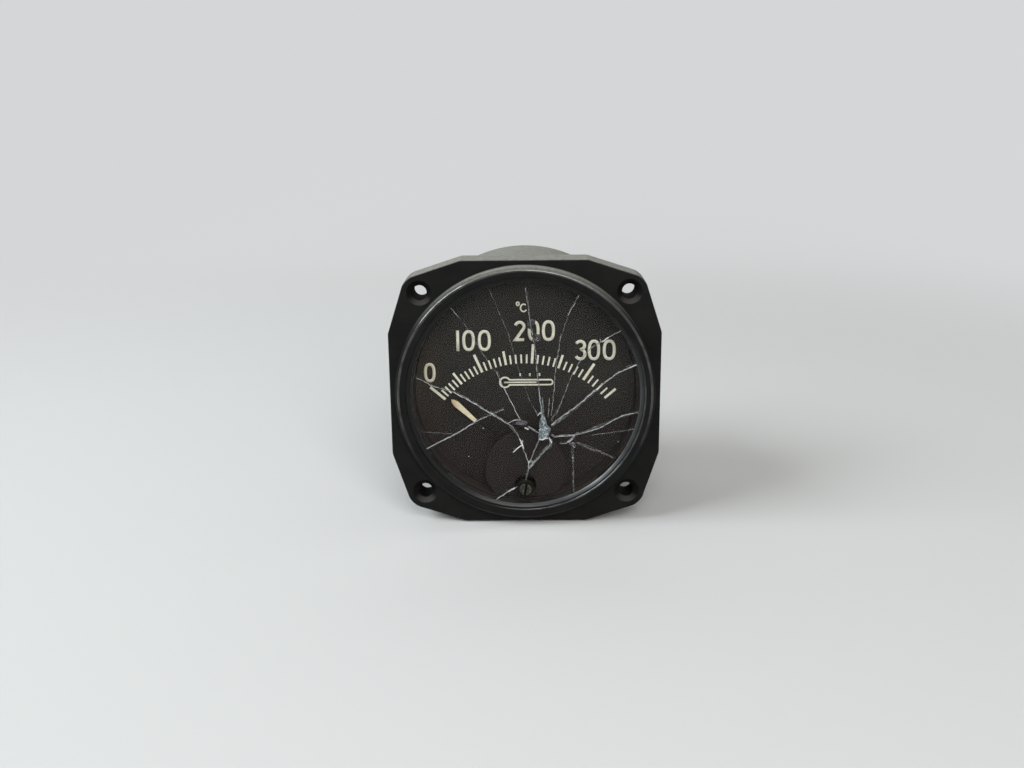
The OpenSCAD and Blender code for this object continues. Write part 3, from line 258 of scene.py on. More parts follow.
# The case is one black phenolic moulding: a square flange with rounded ears, a raised ring
# with the seat for the glass, and a round body that is open at the front like a cup.
case_low, case_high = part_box("case")
flange_half = case_high.x / mm
ring_front = case_low.y / mm
body_rear = case_high.y / mm
flange_front = ring_front + 3.0
flange_flat = 19.0
hole_reach = 31.4325
ear_radius = 5.5
hole_radius = 2.15
sink_radius = 3.72
sink_edge = 0.12
sink_lean = math.radians(41)
ring_radius = 39.5
crease_radius = 38.4
crease_round = 0.5
slope_foot = 0.5
slope_lean = math.radians(48)
ring_fillet = 0.5
body_radius = 39.0
body_round = 1.2
seat_radius = 36.15
seat_round = 0.45
groove_radius = 36.8
chamber_radius = 34.4
snap_front = ring_front + 0.9
snap_rear = snap_front + 0.8
snap_play = 0.05
seat_rear = ring_front + 4.3
chamber_rear = body_rear - 4.6
head_seat = body_rear - 1.9
head_hole_radius = 3.0
shank_hole_radius = 1.7
rear_holes = arc(0, 0, 26, 90, 330, 2)
stud_offset = 12.7
stud_holes = ((2.463, stud_offset), (2.133, -stud_offset))


def spun(name, profile, steps, x=0.0, z=0.0, closed=False):
    """An object turned about a line along Y at (x, z), from points of (radius, depth) in mm."""
    bm = bmesh.new()
    corners, edges = line_through(bm, [(r * mm, y * mm, 0) for r, y in profile], closed)
    bmesh.ops.spin(bm, geom=corners + edges, cent=(0, 0, 0), axis=(0, 1, 0), angle=math.tau,
                   steps=steps, use_merge=True)
    bmesh.ops.remove_doubles(bm, verts=bm.verts, dist=0.0001 * mm)
    bmesh.ops.translate(bm, verts=bm.verts, vec=(x * mm, 0, z * mm))
    return make_object(name, bm)


def disc_profile(inner, outer, front, rear, edge):
    """Points of a flat disc or ring whose outer edges are bevelled."""
    return [(inner, front), (outer - edge, front), (outer, front + edge), (outer, rear - edge),
            (outer - edge, rear), (inner, rear)]


def carve(made, tool, way="DIFFERENCE"):
    """Cuts one solid out of a piece, or joins it on, and deletes it."""
    step = made.modifiers.new("carve", "BOOLEAN")
    step.operation = way
    step.solver = "EXACT"
    step.object = tool
    shaped = made.evaluated_get(bpy.context.evaluated_depsgraph_get())
    mesh = bpy.data.meshes.new_from_object(shaped)
    made.modifiers.remove(step)
    made.data = mesh
    bpy.data.objects.remove(tool)


def drill(made, profile, x=0, z=0):
    """Cuts a turned hole along Y through a piece, from points of (radius, depth)."""
    capped = [(0, profile[0][1])] + profile + [(0, profile[-1][1])]
    carve(made, spun("drill", capped, 64, x, z))


def finish_piece(made, material, stands_for=(), body="instrument", crease=35):
    """Gives a piece its material, its smooth shading and its place in the frame."""
    made.data.materials.clear()
    made.data.materials.append(material)
    made.data.shade_smooth()
    made.data.set_sharp_from_angle(angle=math.radians(crease))
    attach(made, body)
    if stands_for:
        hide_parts(*stands_for)


def grain(beside, size, detail=3.0, stretch=(1, 1, 1)):
    """An even noise whose spots are about size millimetres, drawn out by stretch."""
    shape = add_node(beside, "Mapping", Vector=place_on(beside), Scale=[1 / s for s in stretch])
    return add_node(beside, "TexNoise", Vector=shape.outputs[0], Scale=1 / (size * mm),
                    Detail=detail).outputs["Fac"]


def blend_numbers(source, first, second):
    return add_node(source, "Mix", Factor=source, A=first, B=second).outputs["Result"]


def blend_colours(source, *colours):
    """Goes from the first colour to the second as the source goes from 0 to 1."""
    first, second = ((*c, 1) if isinstance(c, tuple) else c for c in colours)
    return add_node(source, "Mix", data_type="RGBA", Factor=source, A=first,
                    B=second).outputs["Result"]


def clouded(beside, size, detail, first, second):
    """Two colours in clouds about size millimetres wide."""
    return blend_colours(spread(grain(beside, size, detail), 0, 1), first, second)


def lay_over(surface, mask, colour):
    """Lays one more colour over a surface's own where the mask is 1."""
    base = surface.inputs["Base Color"]
    join(blend_colours(mask, base.links[0].from_socket, colour), base)


def add_bump(surface, source, height):
    """Raises the surface by a source, height millimetres from 0 to 1."""
    made = add_node(surface, "Bump", Height=source, Distance=height * mm)
    join(made.outputs["Normal"], surface.inputs["Normal"])


def ramp(source, start, end, low=0):
    """Goes from low at start to 1 at end, both in millimetres."""
    return spread(source, low, 1, start * mm, end * mm)


def part_of(vector, axis):
    return add_node(vector, "SeparateXYZ", Vector=vector).outputs[axis]


def along(beside, axis, start, end, low=0):
    """A ramp between two places along X, Y or Z."""
    return ramp(part_of(place_on(beside), axis), start, end, low)


def facing_up(beside, start, end):
    """Goes from 0 to 1 as the surface turns to face upwards."""
    normal = add_node(beside, "NewGeometry").outputs["Normal"]
    return spread(part_of(normal, "Z"), 0, 1, start, end)


def from_line(beside, x=0.0, z=0.0):
    """The distance in metres from a line along Y at (x, z), or from its nearest mirror image."""
    folded = vector_math(place_on(beside), "ABSOLUTE")
    shifted = vector_math(folded, "SUBTRACT", (x * mm, 0, z * mm))
    return vector_math(vector_math(shifted, "MULTIPLY", (1, 0, 1)), "LENGTH")


def band(reach, start, end, soft):
    """Is 1 between two distances in millimetres, and 0 outside them."""
    return product(ramp(reach, start, start + soft), ramp(reach, end, end - soft))


def case_moulding():
    """Black phenolic: satin, dusty on top with a painted sheen, and rubbed to a gloss along the raised
    ring's edges.
    """
    material, surface = plain_surface("case_moulding", Specular_IOR_Level=0.09,
                                      Coat_Roughness=0.19, Coat_IOR=1.8)
    axis = from_line(surface)
    holes = from_line(surface, hole_reach, hole_reach)
    # Painted light: the chamber wall behind the glass is lightened, so that the shade on it does not show
    # against the dial.
    inside = product(ramp(axis, chamber_radius + 0.2, chamber_radius + 0.05),
                     along(surface, "Y", chamber_rear + 0.6, chamber_rear + 0.1))
    scuffs = product(along(surface, "Y", body_rear - 6, body_rear),
                     spread(grain(surface, 5, 6), 0.25, 1.0, 0.35, 0.65))
    # Painted shade: the bores of the four flange holes are darkened.
    bore = ramp(holes, hole_radius + 0.2, hole_radius + 0.05)
    # Painted light: the upward-facing lower side of each countersink is lightened to a crescent, as light
    # from above would light it.
    clear_of_bore = spread(holes, 0, 0.7, (hole_radius + 0.15) * mm, (hole_radius + 0.35) * mm)
    sink = product(ramp(holes, sink_radius + 0.08, sink_radius - 0.12),
                   facing_up(surface, 0.3, 0.7), clear_of_bore)
    # Dust on the upward faces of the top, made paler still as a painted sheen of the pale wall above.
    dust_and_sheen = product(along(surface, "Z", 14, 35.5), facing_up(surface, 0.35, 0.97),
                   ramp(holes, sink_radius + 0.08, sink_radius + 0.28),
                   band(axis, 37.5, 70, 0.5), spread(grain(surface, 1.1, 8), 0.72, 1.0, 0.35, 0.6))
    set_up(surface, Base_Color=clouded(surface, 7, 4, (0.0040, 0.0042, 0.0038),
                                       (0.0075, 0.0077, 0.0070)))
    # Laid on in turn: painted light on the chamber wall, scuffs at the rear, painted shade in the bores,
    # painted light in the countersinks, and dust with a painted sheen on top.
    for mask, colour in ((inside, (0.042, 0.032, 0.029)), (scuffs, (0.020, 0.0195, 0.018)),
                         (bore, (0.0025, 0.0025, 0.0023)), (sink, (0.050, 0.047, 0.043)),
                         (dust_and_sheen, (0.245, 0.242, 0.216))):
        lay_over(surface, mask, colour)
    gloss = spread(grain(surface, 3, 5), 0.36, 0.48)
    for mask in (bore, sink, dust_and_sheen):
        gloss = blend_numbers(mask, gloss, 0.80)
    patchy = spread(grain(surface, 4, 5), 0.4, 1.0, 0.35, 0.6)
    crest = product(band(axis, crease_radius - 0.35, crease_radius + 0.5, 0.12), patchy,
                    along(surface, "Z", -22, 0))
    rim = product(band(axis, seat_radius - 0.1, seat_radius + 0.6, 0.1), patchy,
                  along(surface, "Y", ring_front + 0.8, ring_front + 0.3),
                  along(surface, "Z", 18, -4), along(surface, "X", -10, 14))
    set_up(surface, Roughness=gloss, Coat_Weight=combine(crest, rim, "MAXIMUM"))
    add_bump(surface, grain(surface, 0.45, 4), 0.014)
    return material


def flange_block():
    """The flange, with its ears and corners rounded and its front edges bevelled."""
    flat_end = Vector((flange_flat, flange_half))
    to_hole = Vector((hole_reach, hole_reach)) - flat_end
    slope = math.atan2(to_hole.y, to_hole.x) + math.asin(ear_radius / to_hole.length)
    fall = math.tan(-slope)
    ear_tip = (flange_half + flange_flat * fall) / (1 + fall)
    ear_turn = math.pi / 2 + 2 * slope
    quarter = [(flange_flat, flange_half), (ear_tip, ear_tip), (flange_half, flange_flat)]
    bm = bmesh.new()
    outline = [Matrix.Rotation(-math.pi / 2 * turn, 2) @ Vector(point)
               for turn in range(4) for point in quarter]
    face = bm.faces.new([bm.verts.new((x * mm, flange_front * mm, z * mm)) for x, z in outline])
    pull(bm, [face], (0, -flange_front * mm, 0))

    def bevel(edges, offset, segments=3):
        bmesh.ops.bevel(bm, geom=edges, offset=offset * mm, segments=segments, profile=0.5,
                        affect="EDGES", material=-1)

    def upright_edges(at_ears):
        """The edges along Y: those at the ears, or those at the ends of the flats."""
        ear_start = flange_half * 1.15
        return [e for e in bm.edges if abs(e.verts[0].co.y - e.verts[1].co.y) > mm
                and (math.hypot(e.verts[0].co.x, e.verts[0].co.z) / mm > ear_start) == at_ears]

    bevel(upright_edges(True), ear_radius * math.tan(ear_turn / 2), 14)
    bevel(upright_edges(False), 0.5)
    for depth, width in ((flange_front, 0.5), (0, 0.2)):
        bevel([e for e in bm.edges if all(abs(v.co.y - depth * mm) < 0.01 * mm for v in e.verts)],
              width)
    return bm


def cup_profile():
    """Half of the ring and body, from the rear pole round the front to the inside pole."""
    points = [(0, body_rear)]
    points += arc(body_radius - body_round, body_rear - body_round, body_round, 90, 0, 6)
    points.append((body_radius, -2.0))
    foot = ring_radius + ring_fillet
    points.append((foot, -3.0))
    points += arc(foot, flange_front - ring_fillet + 0.02, ring_fillet, 90, 180, 5)
    thinner = slope_foot - crease_round
    run = ring_radius - slope_foot - crease_radius + thinner * math.cos(slope_lean)
    fall = run / math.tan(slope_lean) + thinner * math.sin(slope_lean)
    lean = math.degrees(slope_lean)
    points += arc(ring_radius - slope_foot, ring_front + crease_round + fall, slope_foot, 0, -lean, 5)
    points += arc(crease_radius, ring_front + crease_round, crease_round, -lean, -90, 6)
    points += arc(seat_radius + seat_round, ring_front + seat_round, seat_round, -90, -180, 6)
    points += [(seat_radius, snap_front - snap_play), (groove_radius, snap_front - snap_play),
               (groove_radius, snap_rear), (seat_radius, snap_rear), (seat_radius, seat_rear),
               (chamber_radius, seat_rear), (chamber_radius, chamber_rear), (0, chamber_rear)]
    return points


def make_case():
    case = make_object("moulded_case", flange_block())
    inside = (groove_radius + body_radius) / 2
    drill(case, [(inside, flange_front - 1), (inside, 1)])
    carve(case, spun("cup", cup_profile(), 192), "UNION")
    sink_depth = (sink_radius - hole_radius) / math.tan(sink_lean)
    mouth = sink_radius + sink_edge
    sink = [(mouth, flange_front - 1), (mouth, flange_front - 0.02),
            (sink_radius, flange_front + sink_edge), (hole_radius, flange_front + sink_depth),
            (hole_radius, 1)]
    for x in (-hole_reach, hole_reach):
        for z in (-hole_reach, hole_reach):
            drill(case, sink, x, z)
    for x, z in rear_holes:
        drill(case, [(shank_hole_radius, chamber_rear - 1), (shank_hole_radius, head_seat),
                     (head_hole_radius, head_seat), (head_hole_radius, body_rear + 1)], x, z)
    for radius, x in stud_holes:
        drill(case, [(radius, chamber_rear - 1), (radius, body_rear + 1)], x)
    finish_piece(case, case_moulding(), ["case"])
    shading = case.modifiers.new("even_shading", "WEIGHTED_NORMAL")
    shading.keep_sharp = True


make_case()


# Two terminal studs go through the rear wall, the positive one thicker than the negative.
# They are plated brass with a rolled thread, held by a hexagon head and a solder tag inside.
tag_front = chamber_rear - 0.6
stud_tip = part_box("stud_positive")[1].y / mm
thread_pitch = 0.794
thread_play = 0.05
washer_thickness = 0.8
washer_bevel = 0.12
nut_thickness = 3.2
nut_mouth = 0.3
nut_chamfer = 0.15
head_thickness = 2.4
head_chamfer = 0.1
# Each terminal's pole, thread radius, root radius, nut's corner radius and washer's radius.
terminals = (("positive", 2.413, 1.90, 5.5, 5.7), ("negative", 2.083, 1.62, 5.05, 5.2))


def dress(material, *nodes):
    """Gives CAD nodes a material in place of the plain one that they came with."""
    for name in nodes:
        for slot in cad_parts[name].material_slots:
            slot.material = material


def coat(surface, colour, texture, smooth, rough, height):
    """Colours a surface; a texture turns it from smooth to rough and raises it a little."""
    set_up(surface, Base_Color=colour, Roughness=spread(texture, smooth, rough))
    add_bump(surface, texture, height)


def machined(name, colour, tarnish, roughness, cloud=3.0, stretch=(1, 1, 1), mark=0.25):
    """Machined metal: clouded with tarnish, and finely marked along its stretch."""
    material, surface = plain_surface(name, Metallic=1.0)
    coat(surface, clouded(surface, cloud, 4, colour, tarnish), grain(surface, mark, 4, stretch),
         roughness - 0.07, roughness + 0.1, 0.006)
    return material


def thread_metal(pole, radius, root):
    """Plated brass, with the dirt of years in the thread's grooves."""
    material = machined("plated_stud_" + pole, (0.50, 0.36, 0.15), (0.24, 0.15, 0.06), 0.30,
                        cloud=1.2)
    surface = material.node_tree.nodes["Principled BSDF"]
    groove = ramp(from_line(surface, stud_offset), radius - 0.12, root)
    lay_over(surface, groove, (0.05, 0.035, 0.02))
    return material


def hexagon(name, corner_radius, front, rear, x, chamfer):
    """A hexagon prism along Y with its corners turned off at the ends."""
    half_face = math.radians(30)
    bm = bmesh.new()
    turn = Matrix.Rotation(half_face, 4, "Y") @ Matrix.Rotation(math.pi / 2, 4, "X")
    made = bmesh.ops.create_circle(bm, segments=6, radius=corner_radius * mm, cap_ends=True,
                                   matrix=Matrix.Translation((x * mm, front * mm, 0)) @ turn)
    pull(bm, made["verts"][0].link_faces[:], (0, (rear - front) * mm, 0))
    prism = make_object(name, bm)
    flat = corner_radius * math.cos(half_face) - chamfer
    outside = corner_radius + 0.01
    drop = (outside - flat) * math.tan(half_face)
    turned = [(0, front), (flat, front), (outside, front + drop), (outside, rear - drop),
              (flat, rear), (0, rear)]
    carve(prism, spun("turned", turned, 96, x), "INTERSECT")
    return prism


def threaded_rod(name, radius, root, front, rear, x):
    """A rod along Y with a real helical thread and a bevelled rear end."""
    steps = 36
    turns = int((rear - front) / thread_pitch) + 4
    bm = bmesh.new()
    profile = []
    for turn in range(turns):
        start = front + (turn - 2) * thread_pitch
        profile += [(root * mm, start * mm, 0), (radius * mm, (start + thread_pitch * 0.44) * mm, 0),
                    (radius * mm, (start + thread_pitch * 0.56) * mm, 0)]
    corners, edges = line_through(bm, profile)
    bmesh.ops.spin(bm, geom=corners + edges, cent=(0, 0, 0), axis=(0, 1, 0), angle=math.tau,
                   dvec=(0, thread_pitch * mm / steps, 0), steps=steps)
    bmesh.ops.remove_doubles(bm, verts=bm.verts, dist=0.001 * mm)
    for depth, inner in ((front, False), (rear + 0.1, True)):
        cut = bmesh.ops.bisect_plane(bm, geom=bm.verts[:] + bm.edges[:] + bm.faces[:],
                                     plane_co=(0, depth * mm, 0), plane_no=(0, 1, 0),
                                     clear_outer=inner, clear_inner=not inner)
        loop = [e for e in cut["geom_cut"] if isinstance(e, bmesh.types.BMEdge)]
        bmesh.ops.contextual_create(bm, geom=loop)
    bmesh.ops.translate(bm, verts=bm.verts, vec=(x * mm, 0, 0))
    rod = make_object(name, bm)
    turned = [(0, front - 1), (radius + 0.01, front - 1), (radius + 0.01, rear - 0.6),
              (root - 0.1, rear), (0, rear)]
    carve(rod, spun("turned", turned, 96, x), "INTERSECT")
    return rod


nut_metal = machined("dull_nickel", (0.44, 0.41, 0.35), (0.18, 0.155, 0.12), 0.32, cloud=1.6)
tag_metal = machined("tinned_brass", (0.62, 0.60, 0.54), (0.42, 0.37, 0.28), 0.40)
dress(tag_metal, "solder_tags")

for pole, thread_radius, thread_root, nut_corner, washer_radius in terminals:
    stud_low, stud_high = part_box("stud_" + pole)
    centre = (stud_low.x + stud_high.x) / 2 / mm
    hole = thread_radius + thread_play
    stud = threaded_rod("threaded_stud_" + pole, thread_radius, thread_root,
                        tag_front - head_thickness / 2, stud_tip, centre)
    carve(stud, hexagon("head", nut_corner, tag_front - head_thickness, tag_front, centre,
                        head_chamfer), "UNION")
    finish_piece(stud, thread_metal(pole, thread_radius, thread_root),
                 ["stud_" + pole])
    for count in range(2):
        front = body_rear + count * (washer_thickness + nut_thickness)
        nut_front = front + washer_thickness
        rear = nut_front + nut_thickness
        flat = disc_profile(hole, washer_radius, front, nut_front, washer_bevel)
        washer = spun("flat_washer_%s_%d" % (pole, count + 1), flat, 96, centre, closed=True)
        finish_piece(washer, nut_metal, ["washers_" + pole])
        nut = hexagon("hexagon_nut_%s_%d" % (pole, count + 1), nut_corner, nut_front, rear, centre,
                      nut_chamfer)
        mouth = hole + nut_mouth
        drill(nut, [(mouth, nut_front - 1), (mouth, nut_front), (thread_root, nut_front + nut_mouth),
                    (thread_root, rear - nut_mouth), (mouth, rear), (mouth, rear + 1)], centre)
        finish_piece(nut, nut_metal, ["nuts_" + pole])


# The movement hangs on an aluminium plate, which three pillars hold off the rear wall.
# Slotted steel screws go into the pillars from both ends; the rear ones sit in sunk holes.
head_radius = 2.8
head_height = 1.8
head_edge = 0.3
shank_radius = 1.5
shank_tip = chamber_rear - 7
slot_width = 0.9
slot_turns = (0.6, 2.1, 1.2)
blackened = machined("blackened_steel", (0.055, 0.055, 0.06), (0.10, 0.085, 0.07), 0.42)
aluminium = machined("plain_aluminium", (0.60, 0.60, 0.60), (0.44, 0.44, 0.43), 0.38,
                     stretch=(6, 1, 1))
screw_metal = machined("rear_screw_steel", (0.13, 0.125, 0.115), (0.055, 0.045, 0.035), 0.36,
                       cloud=1.2)
dress(aluminium, "movement_plate", "support_pillars")
dress(blackened, "plate_screws")


def cut_slot(made, size, place, turn=0):
    """Cuts a block out of a piece; its size and place are in millimetres, its turn is about Y."""
    bm = bmesh.new()
    shape = Matrix.Diagonal([part * mm for part in size] + [1])
    home = Matrix.Translation([part * mm for part in place]) @ Matrix.Rotation(turn, 4, "Y")
    bmesh.ops.create_cube(bm, size=1, matrix=home @ shape)
    carve(made, make_object("slot", bm))


def rear_screw(name, x, z, turn):
    """A cheese-head screw that points forwards, its slotted head at the rear."""
    head_rear = head_seat + head_height
    outline = [(0, shank_tip), (shank_radius - head_edge, shank_tip),
               (shank_radius, shank_tip + head_edge), (shank_radius, head_seat),
               (head_radius, head_seat)]
    outline += arc(head_radius - head_edge, head_rear - head_edge, head_edge, 0, 90, 4)
    outline.append((0, head_rear))
    made = spun(name, outline, 64, x, z)
    cut_slot(made, (3 * head_radius, head_rear - head_seat, slot_width), (x, head_rear, z), turn)
    return made


for count, ((x, z), turn) in enumerate(zip(rear_holes, slot_turns)):
    screw = rear_screw("rear_screw_%d" % (count + 1), x, z, turn)
    finish_piece(screw, screw_metal, ["rear_screws"])


# A cast horseshoe magnet drives its field through two soft iron pole pieces. They are screwed
# to the plate, and a brass clamp on a pillar holds the arch.
magnet_steel = machined("lacquered_magnet", (0.13, 0.14, 0.16), (0.08, 0.085, 0.10), 0.45, mark=0.5)
soft_iron = machined("soft_iron", (0.30, 0.30, 0.31), (0.20, 0.19, 0.18), 0.40, stretch=(1, 8, 1))
brass = machined("plain_brass", (0.62, 0.45, 0.18), (0.38, 0.25, 0.10), 0.32)
dress(magnet_steel, "magnet")
dress(soft_iron, "pole_pieces")
dress(blackened, "pole_screws", "clamp_screw")
dress(brass, "magnet_clamp")
dress(aluminium, "clamp_pillar")


# The round iron core hangs from a brass strap between the pole pieces, and the coil swings
# round it: copper wire on an aluminium former, with a steel staff at each end.
steel = machined("polished_steel", (0.58, 0.58, 0.60), (0.45, 0.45, 0.46), 0.22)


def wound_wire(name, colour, groove, thread, direction):
    """Fine wire laid side by side: ridges one thread apart, with painted shade between the turns."""
    material, surface = plain_surface(name)
    turns = add_node(surface, "TexWave", bands_direction=direction, Vector=place_on(surface),
                     Scale=0.314 / (thread * mm), Distortion=0.6, Detail=1.0).outputs["Fac"]
    set_up(surface, Base_Color=blend_colours(turns, groove, colour),
           Roughness=spread(grain(surface, 0.5), 0.35, 0.55))
    add_bump(surface, turns, thread * 0.4)
    return material


dress(soft_iron, "core")
dress(brass, "core_strap", "core_screw")
dress(blackened, "strap_screws")
dress(aluminium, "coil_former")
dress(steel, "front_staff", "rear_staff")
dress(wound_wire("enamelled_copper", (0.42, 0.14, 0.05), (0.12, 0.03, 0.012), 0.09, "X"),
      "coil_winding")


# The balance cross and its weights are brass, on the same hub as the pointer. Two bronze
# hairsprings lead the current to the coil, and a bimetal spiral holds the rear one's end.
bronze = machined("spring_bronze", (0.55, 0.34, 0.15), (0.40, 0.24, 0.12), 0.28, cloud=1.0)
bimetal = machined("bimetal_strip", (0.50, 0.46, 0.38), (0.38, 0.30, 0.22), 0.34)
dress(brass, "balance_cross", "balance_weights")
dress(bronze, "front_hairspring", "rear_hairspring")
dress(bimetal, "bimetal_spiral")


# Each staff turns in a jewel screw, locked by a nut in a bridge. The front bridge stands on
# two posts; the zero corrector turns on its boss. The rear bridge is a bent brass strip.
dress(brass, "bridge_posts", "front_jewel_screw", "rear_bridge", "rear_jewel_screw",
      "jewel_nuts")
dress(blackened, "bridge_screws")


# The series resistor is silk-covered wire on a phenolic bobbin, screwed to the plate.
# Insulated leads join the tags, the resistor and the spring of the movement.
def soft_cover(name, colour, worn, roughness, size):
    """Rubber or plastic: two near tones in soft clouds over a fine uneven skin."""
    material, surface = plain_surface(name, Specular_IOR_Level=0.35)
    coat(surface, clouded(surface, size * 6, 3, colour, worn), grain(surface, size, 4),
         roughness - 0.08, roughness + 0.08, 0.02)
    return material


dress(soft_cover("brown_phenolic", (0.16, 0.06, 0.028), (0.10, 0.038, 0.02), 0.45, 0.4),
      "resistor_bobbin")
dress(wound_wire("silk_covered_wire", (0.30, 0.21, 0.08), (0.10, 0.07, 0.03), 0.22, "Y"),
      "resistor_winding")
dress(blackened, "bobbin_screw")
dress(soft_cover("red_insulation", (0.33, 0.035, 0.025), (0.20, 0.02, 0.018), 0.5, 0.15),
      "lead_positive")
dress(soft_cover("black_insulation", (0.028, 0.028, 0.028), (0.05, 0.048, 0.045), 0.5, 0.15),
      "lead_resistor", "lead_negative")


# The dial is an aluminium disc sprayed matt black, faded to brown towards its left edge.
# It is screwed to two brass posts, and two pins in it stop the pointer's arm.
dial_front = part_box("dial_plate")[0].y / mm
axis_height = -24.6


def dial_paint(name, depth):
    """Matt black over aluminium, with a painted reflection; a depth below 1 darkens it all as painted
    shade.
    """
    material, surface = plain_surface(name, Specular_IOR_Level=0.25)
    # Painted reflection: the dial is reddish in its lower part and brownish higher up, standing in for the
    # table and the room mirrored in the glass.
    lower = clouded(surface, 14, 3, (0.0086, 0.0050, 0.0050), (0.0132, 0.0080, 0.0076))
    upper = clouded(surface, 14, 3, (0.0066, 0.0060, 0.0052), (0.0102, 0.0089, 0.0073))
    middle = blend_colours(along(surface, "Z", -14, 4), lower, upper)
    faded = product(along(surface, "X", -23, -36), spread(grain(surface, 5, 4), 0.2, 1))
    whole = blend_colours(faded, middle, (0.023, 0.013, 0.0065))
    dimmed = add_node(surface, "VectorMath", operation="SCALE", Vector=whole, Scale=depth)
    coat(surface, dimmed.outputs["Vector"], grain(surface, 0.3, 3), 0.62, 0.80, 0.012)
    return material


black_paint = dial_paint("dial_paint", 1.0)
dress(black_paint, "dial_plate", "dial_screws")
# The mask sits nearer the glass and catches more light than the dial, so the same paint is darkened there
# as painted shade.
dress(dial_paint("mask_paint_painted_shade", 0.92), "pivot_mask")
dress(brass, "dial_posts")


# The scale is printed on the dial in aged cream paint. It runs from 0 to 350 in steps of ten,
# and its steps grow a little towards the hot end.
print_thickness = 0.05
tick_inner = 32.7
zero_angle = 139.4
pace_at_zero = 0.2455
pace_growth = 0.000103


def scale_angle(value):
    """The angle of a value on the scale, in degrees up from the right."""
    return zero_angle - (pace_at_zero * value + pace_growth * value * value)


def cream_print():
    material, surface = plain_surface("cream_print", Specular_IOR_Level=0.3)
    pale = clouded(surface, 1.1, 5, (0.84, 0.82, 0.74), (0.66, 0.63, 0.53))
    stained = blend_colours(along(surface, "X", -24, -34), pale, (0.46, 0.41, 0.30))
    coat(surface, stained, grain(surface, 0.2, 3), 0.65, 0.85, 0.02)
    return material


def tick_size(value):
    """How far from the pointer's axis a mark reaches, and its width."""
    if value % 100 == 0:
        return 38.8, 0.82
    if value % 50 == 0:
        return (37.2 if value == 350 else 37.1), 0.72
    return 35.5, 0.52


def make_ticks():
    bm = bmesh.new()
    home = Matrix.Translation((0, (dial_front - print_thickness / 2) * mm, axis_height * mm))
    for value in range(0, 351, 10):
        outer, width = tick_size(value)
        turn = Matrix.Rotation(-math.radians(scale_angle(value)), 4, "Y")
        centre = Matrix.Translation(((tick_inner + outer) / 2 * mm, 0, 0))
        size = Matrix.Diagonal(((outer - tick_inner) * mm, print_thickness * mm, width * mm, 1))
        bmesh.ops.create_cube(bm, size=1, matrix=home @ turn @ centre @ size)
    return make_object("scale_ticks", bm)


cream = cream_print()
finish_piece(make_ticks(), cream)


# The figures and the unit mark are printed in the same paint with one even stroke, as a
# stencil or engraving tool leaves them. A small thermometer sign lies below the scale.
figure_stroke = 0.92
unit_stroke = 0.42
symbol_stroke = 0.5
half = figure_stroke / 2


def thicken(made, thickness, even=False):
    """Gives a thin piece its wall, half of it on each side."""
    wall = made.modifiers.new("wall", "SOLIDIFY")
    wall.thickness = thickness * mm
    wall.offset = 0
    wall.use_even_offset = even


def stroke_object(name, strokes, width):
    """Flat strokes on the dial's face, from lists of points in mm and whether they close."""
    bm = bmesh.new()
    front = (dial_front - print_thickness) * mm
    for points, closed in strokes:
        edges = line_through(bm, [(x * mm, front, z * mm) for x, z in points], closed)[1]
        pull(bm, edges, (0, print_thickness * mm, 0))
    made = make_object(name, bm)
    thicken(made, width, even=True)
    finish_piece(made, cream)


def oval(x0, z0, x1, z1, squareness=2.5, steps=40):
    """A closed stroke round a box, fuller than an ellipse."""
    points = []
    for i in range(steps):
        c = math.cos(math.tau * i / steps)
        s = math.sin(math.tau * i / steps)
        points.append(((x0 + x1) / 2 + (x1 - x0) / 2 * math.copysign(abs(c) ** (2 / squareness), c),
                       (z0 + z1) / 2 + (z1 - z0) / 2 * math.copysign(abs(s) ** (2 / squareness), s)))
    return points, True


def figure_one(x0, z0, x1, z1):
    middle = (x0 + x1) / 2
    return [(middle, z0 - half), (middle, z1 + half)], False


def figure_two(x0, z0, x1, z1):
    radius = (x1 - x0) / 2
    top = arc(x0 + radius, z1 - radius, radius, 165, -35, 16)
    return top + [(x0, z0), (x1, z0)], False


def figure_three(x0, z0, x1, z1):
    upper = (z1 - z0) * 0.23
    lower = (z1 - z0) * 0.27
    middle = (x0 + x1) / 2
    bowl = (x1 - x0) / 2
    points = [(middle + c * bowl * 0.92, z1 - upper + s * upper)
              for c, s in arc(0, 0, 1, 155, -75, 12)]
    points += [(middle + c * bowl, z0 + lower + s * lower)
               for c, s in arc(0, 0, 1, 75, -155, 14)]
    return points, False


def thermometer():
    """A plain thermometer lying on its side, with three short marks above its tube."""
    bulb, neck, end, height = -6.2, 0.8, 7.8, 2.0
    outline = arc(bulb, height, 1.6, 30, 330, 20) + arc(end, height, neck, -90, 90, 8)
    lines = [(outline, True), ([(bulb - 0.3, height), (3.6, height)], False)]
    lines += [([(x, height + 2.0), (x, height + 2.9)], False) for x in (-1.5, 1.5, 4.5)]
    return lines


# Each figure's shape, and the left, lower, right and upper edges of its box.
figures = [
    (oval, -31.3, 2.2, -27.7, 8.4),
    (figure_one, -21.1, 12.1, -20.1, 18.6),
    (oval, -19.2, 12.1, -15.3, 18.7),
    (oval, -14.4, 12.1, -10.4, 18.7),
    (figure_two, -3.3, 15.1, 0.3, 21.5),
    (oval, 0.95, 15.1, 4.6, 21.6),
    (oval, 5.3, 15.1, 9.3, 21.6),
    (figure_three, 15.2, 8.9, 19.0, 15.4),
    (oval, 19.4, 8.9, 23.2, 15.4),
    (oval, 24.0, 8.9, 28.0, 15.4),
]
stroke_object("scale_figures", [draw(x0 + half, z0 + half, x1 - half, z1 - half)
                                for draw, x0, z0, x1, z1 in figures], figure_stroke)
degree = oval(-2.45, 26.25, -1.6, 27.3, 2.0, 16)
letter = [(-0.25 + 0.95 * c, 25.5 + 1.15 * s) for c, s in arc(0, 0, 1, 45, 330, 19)]
stroke_object("unit_mark", [degree, (letter, False)], unit_stroke)
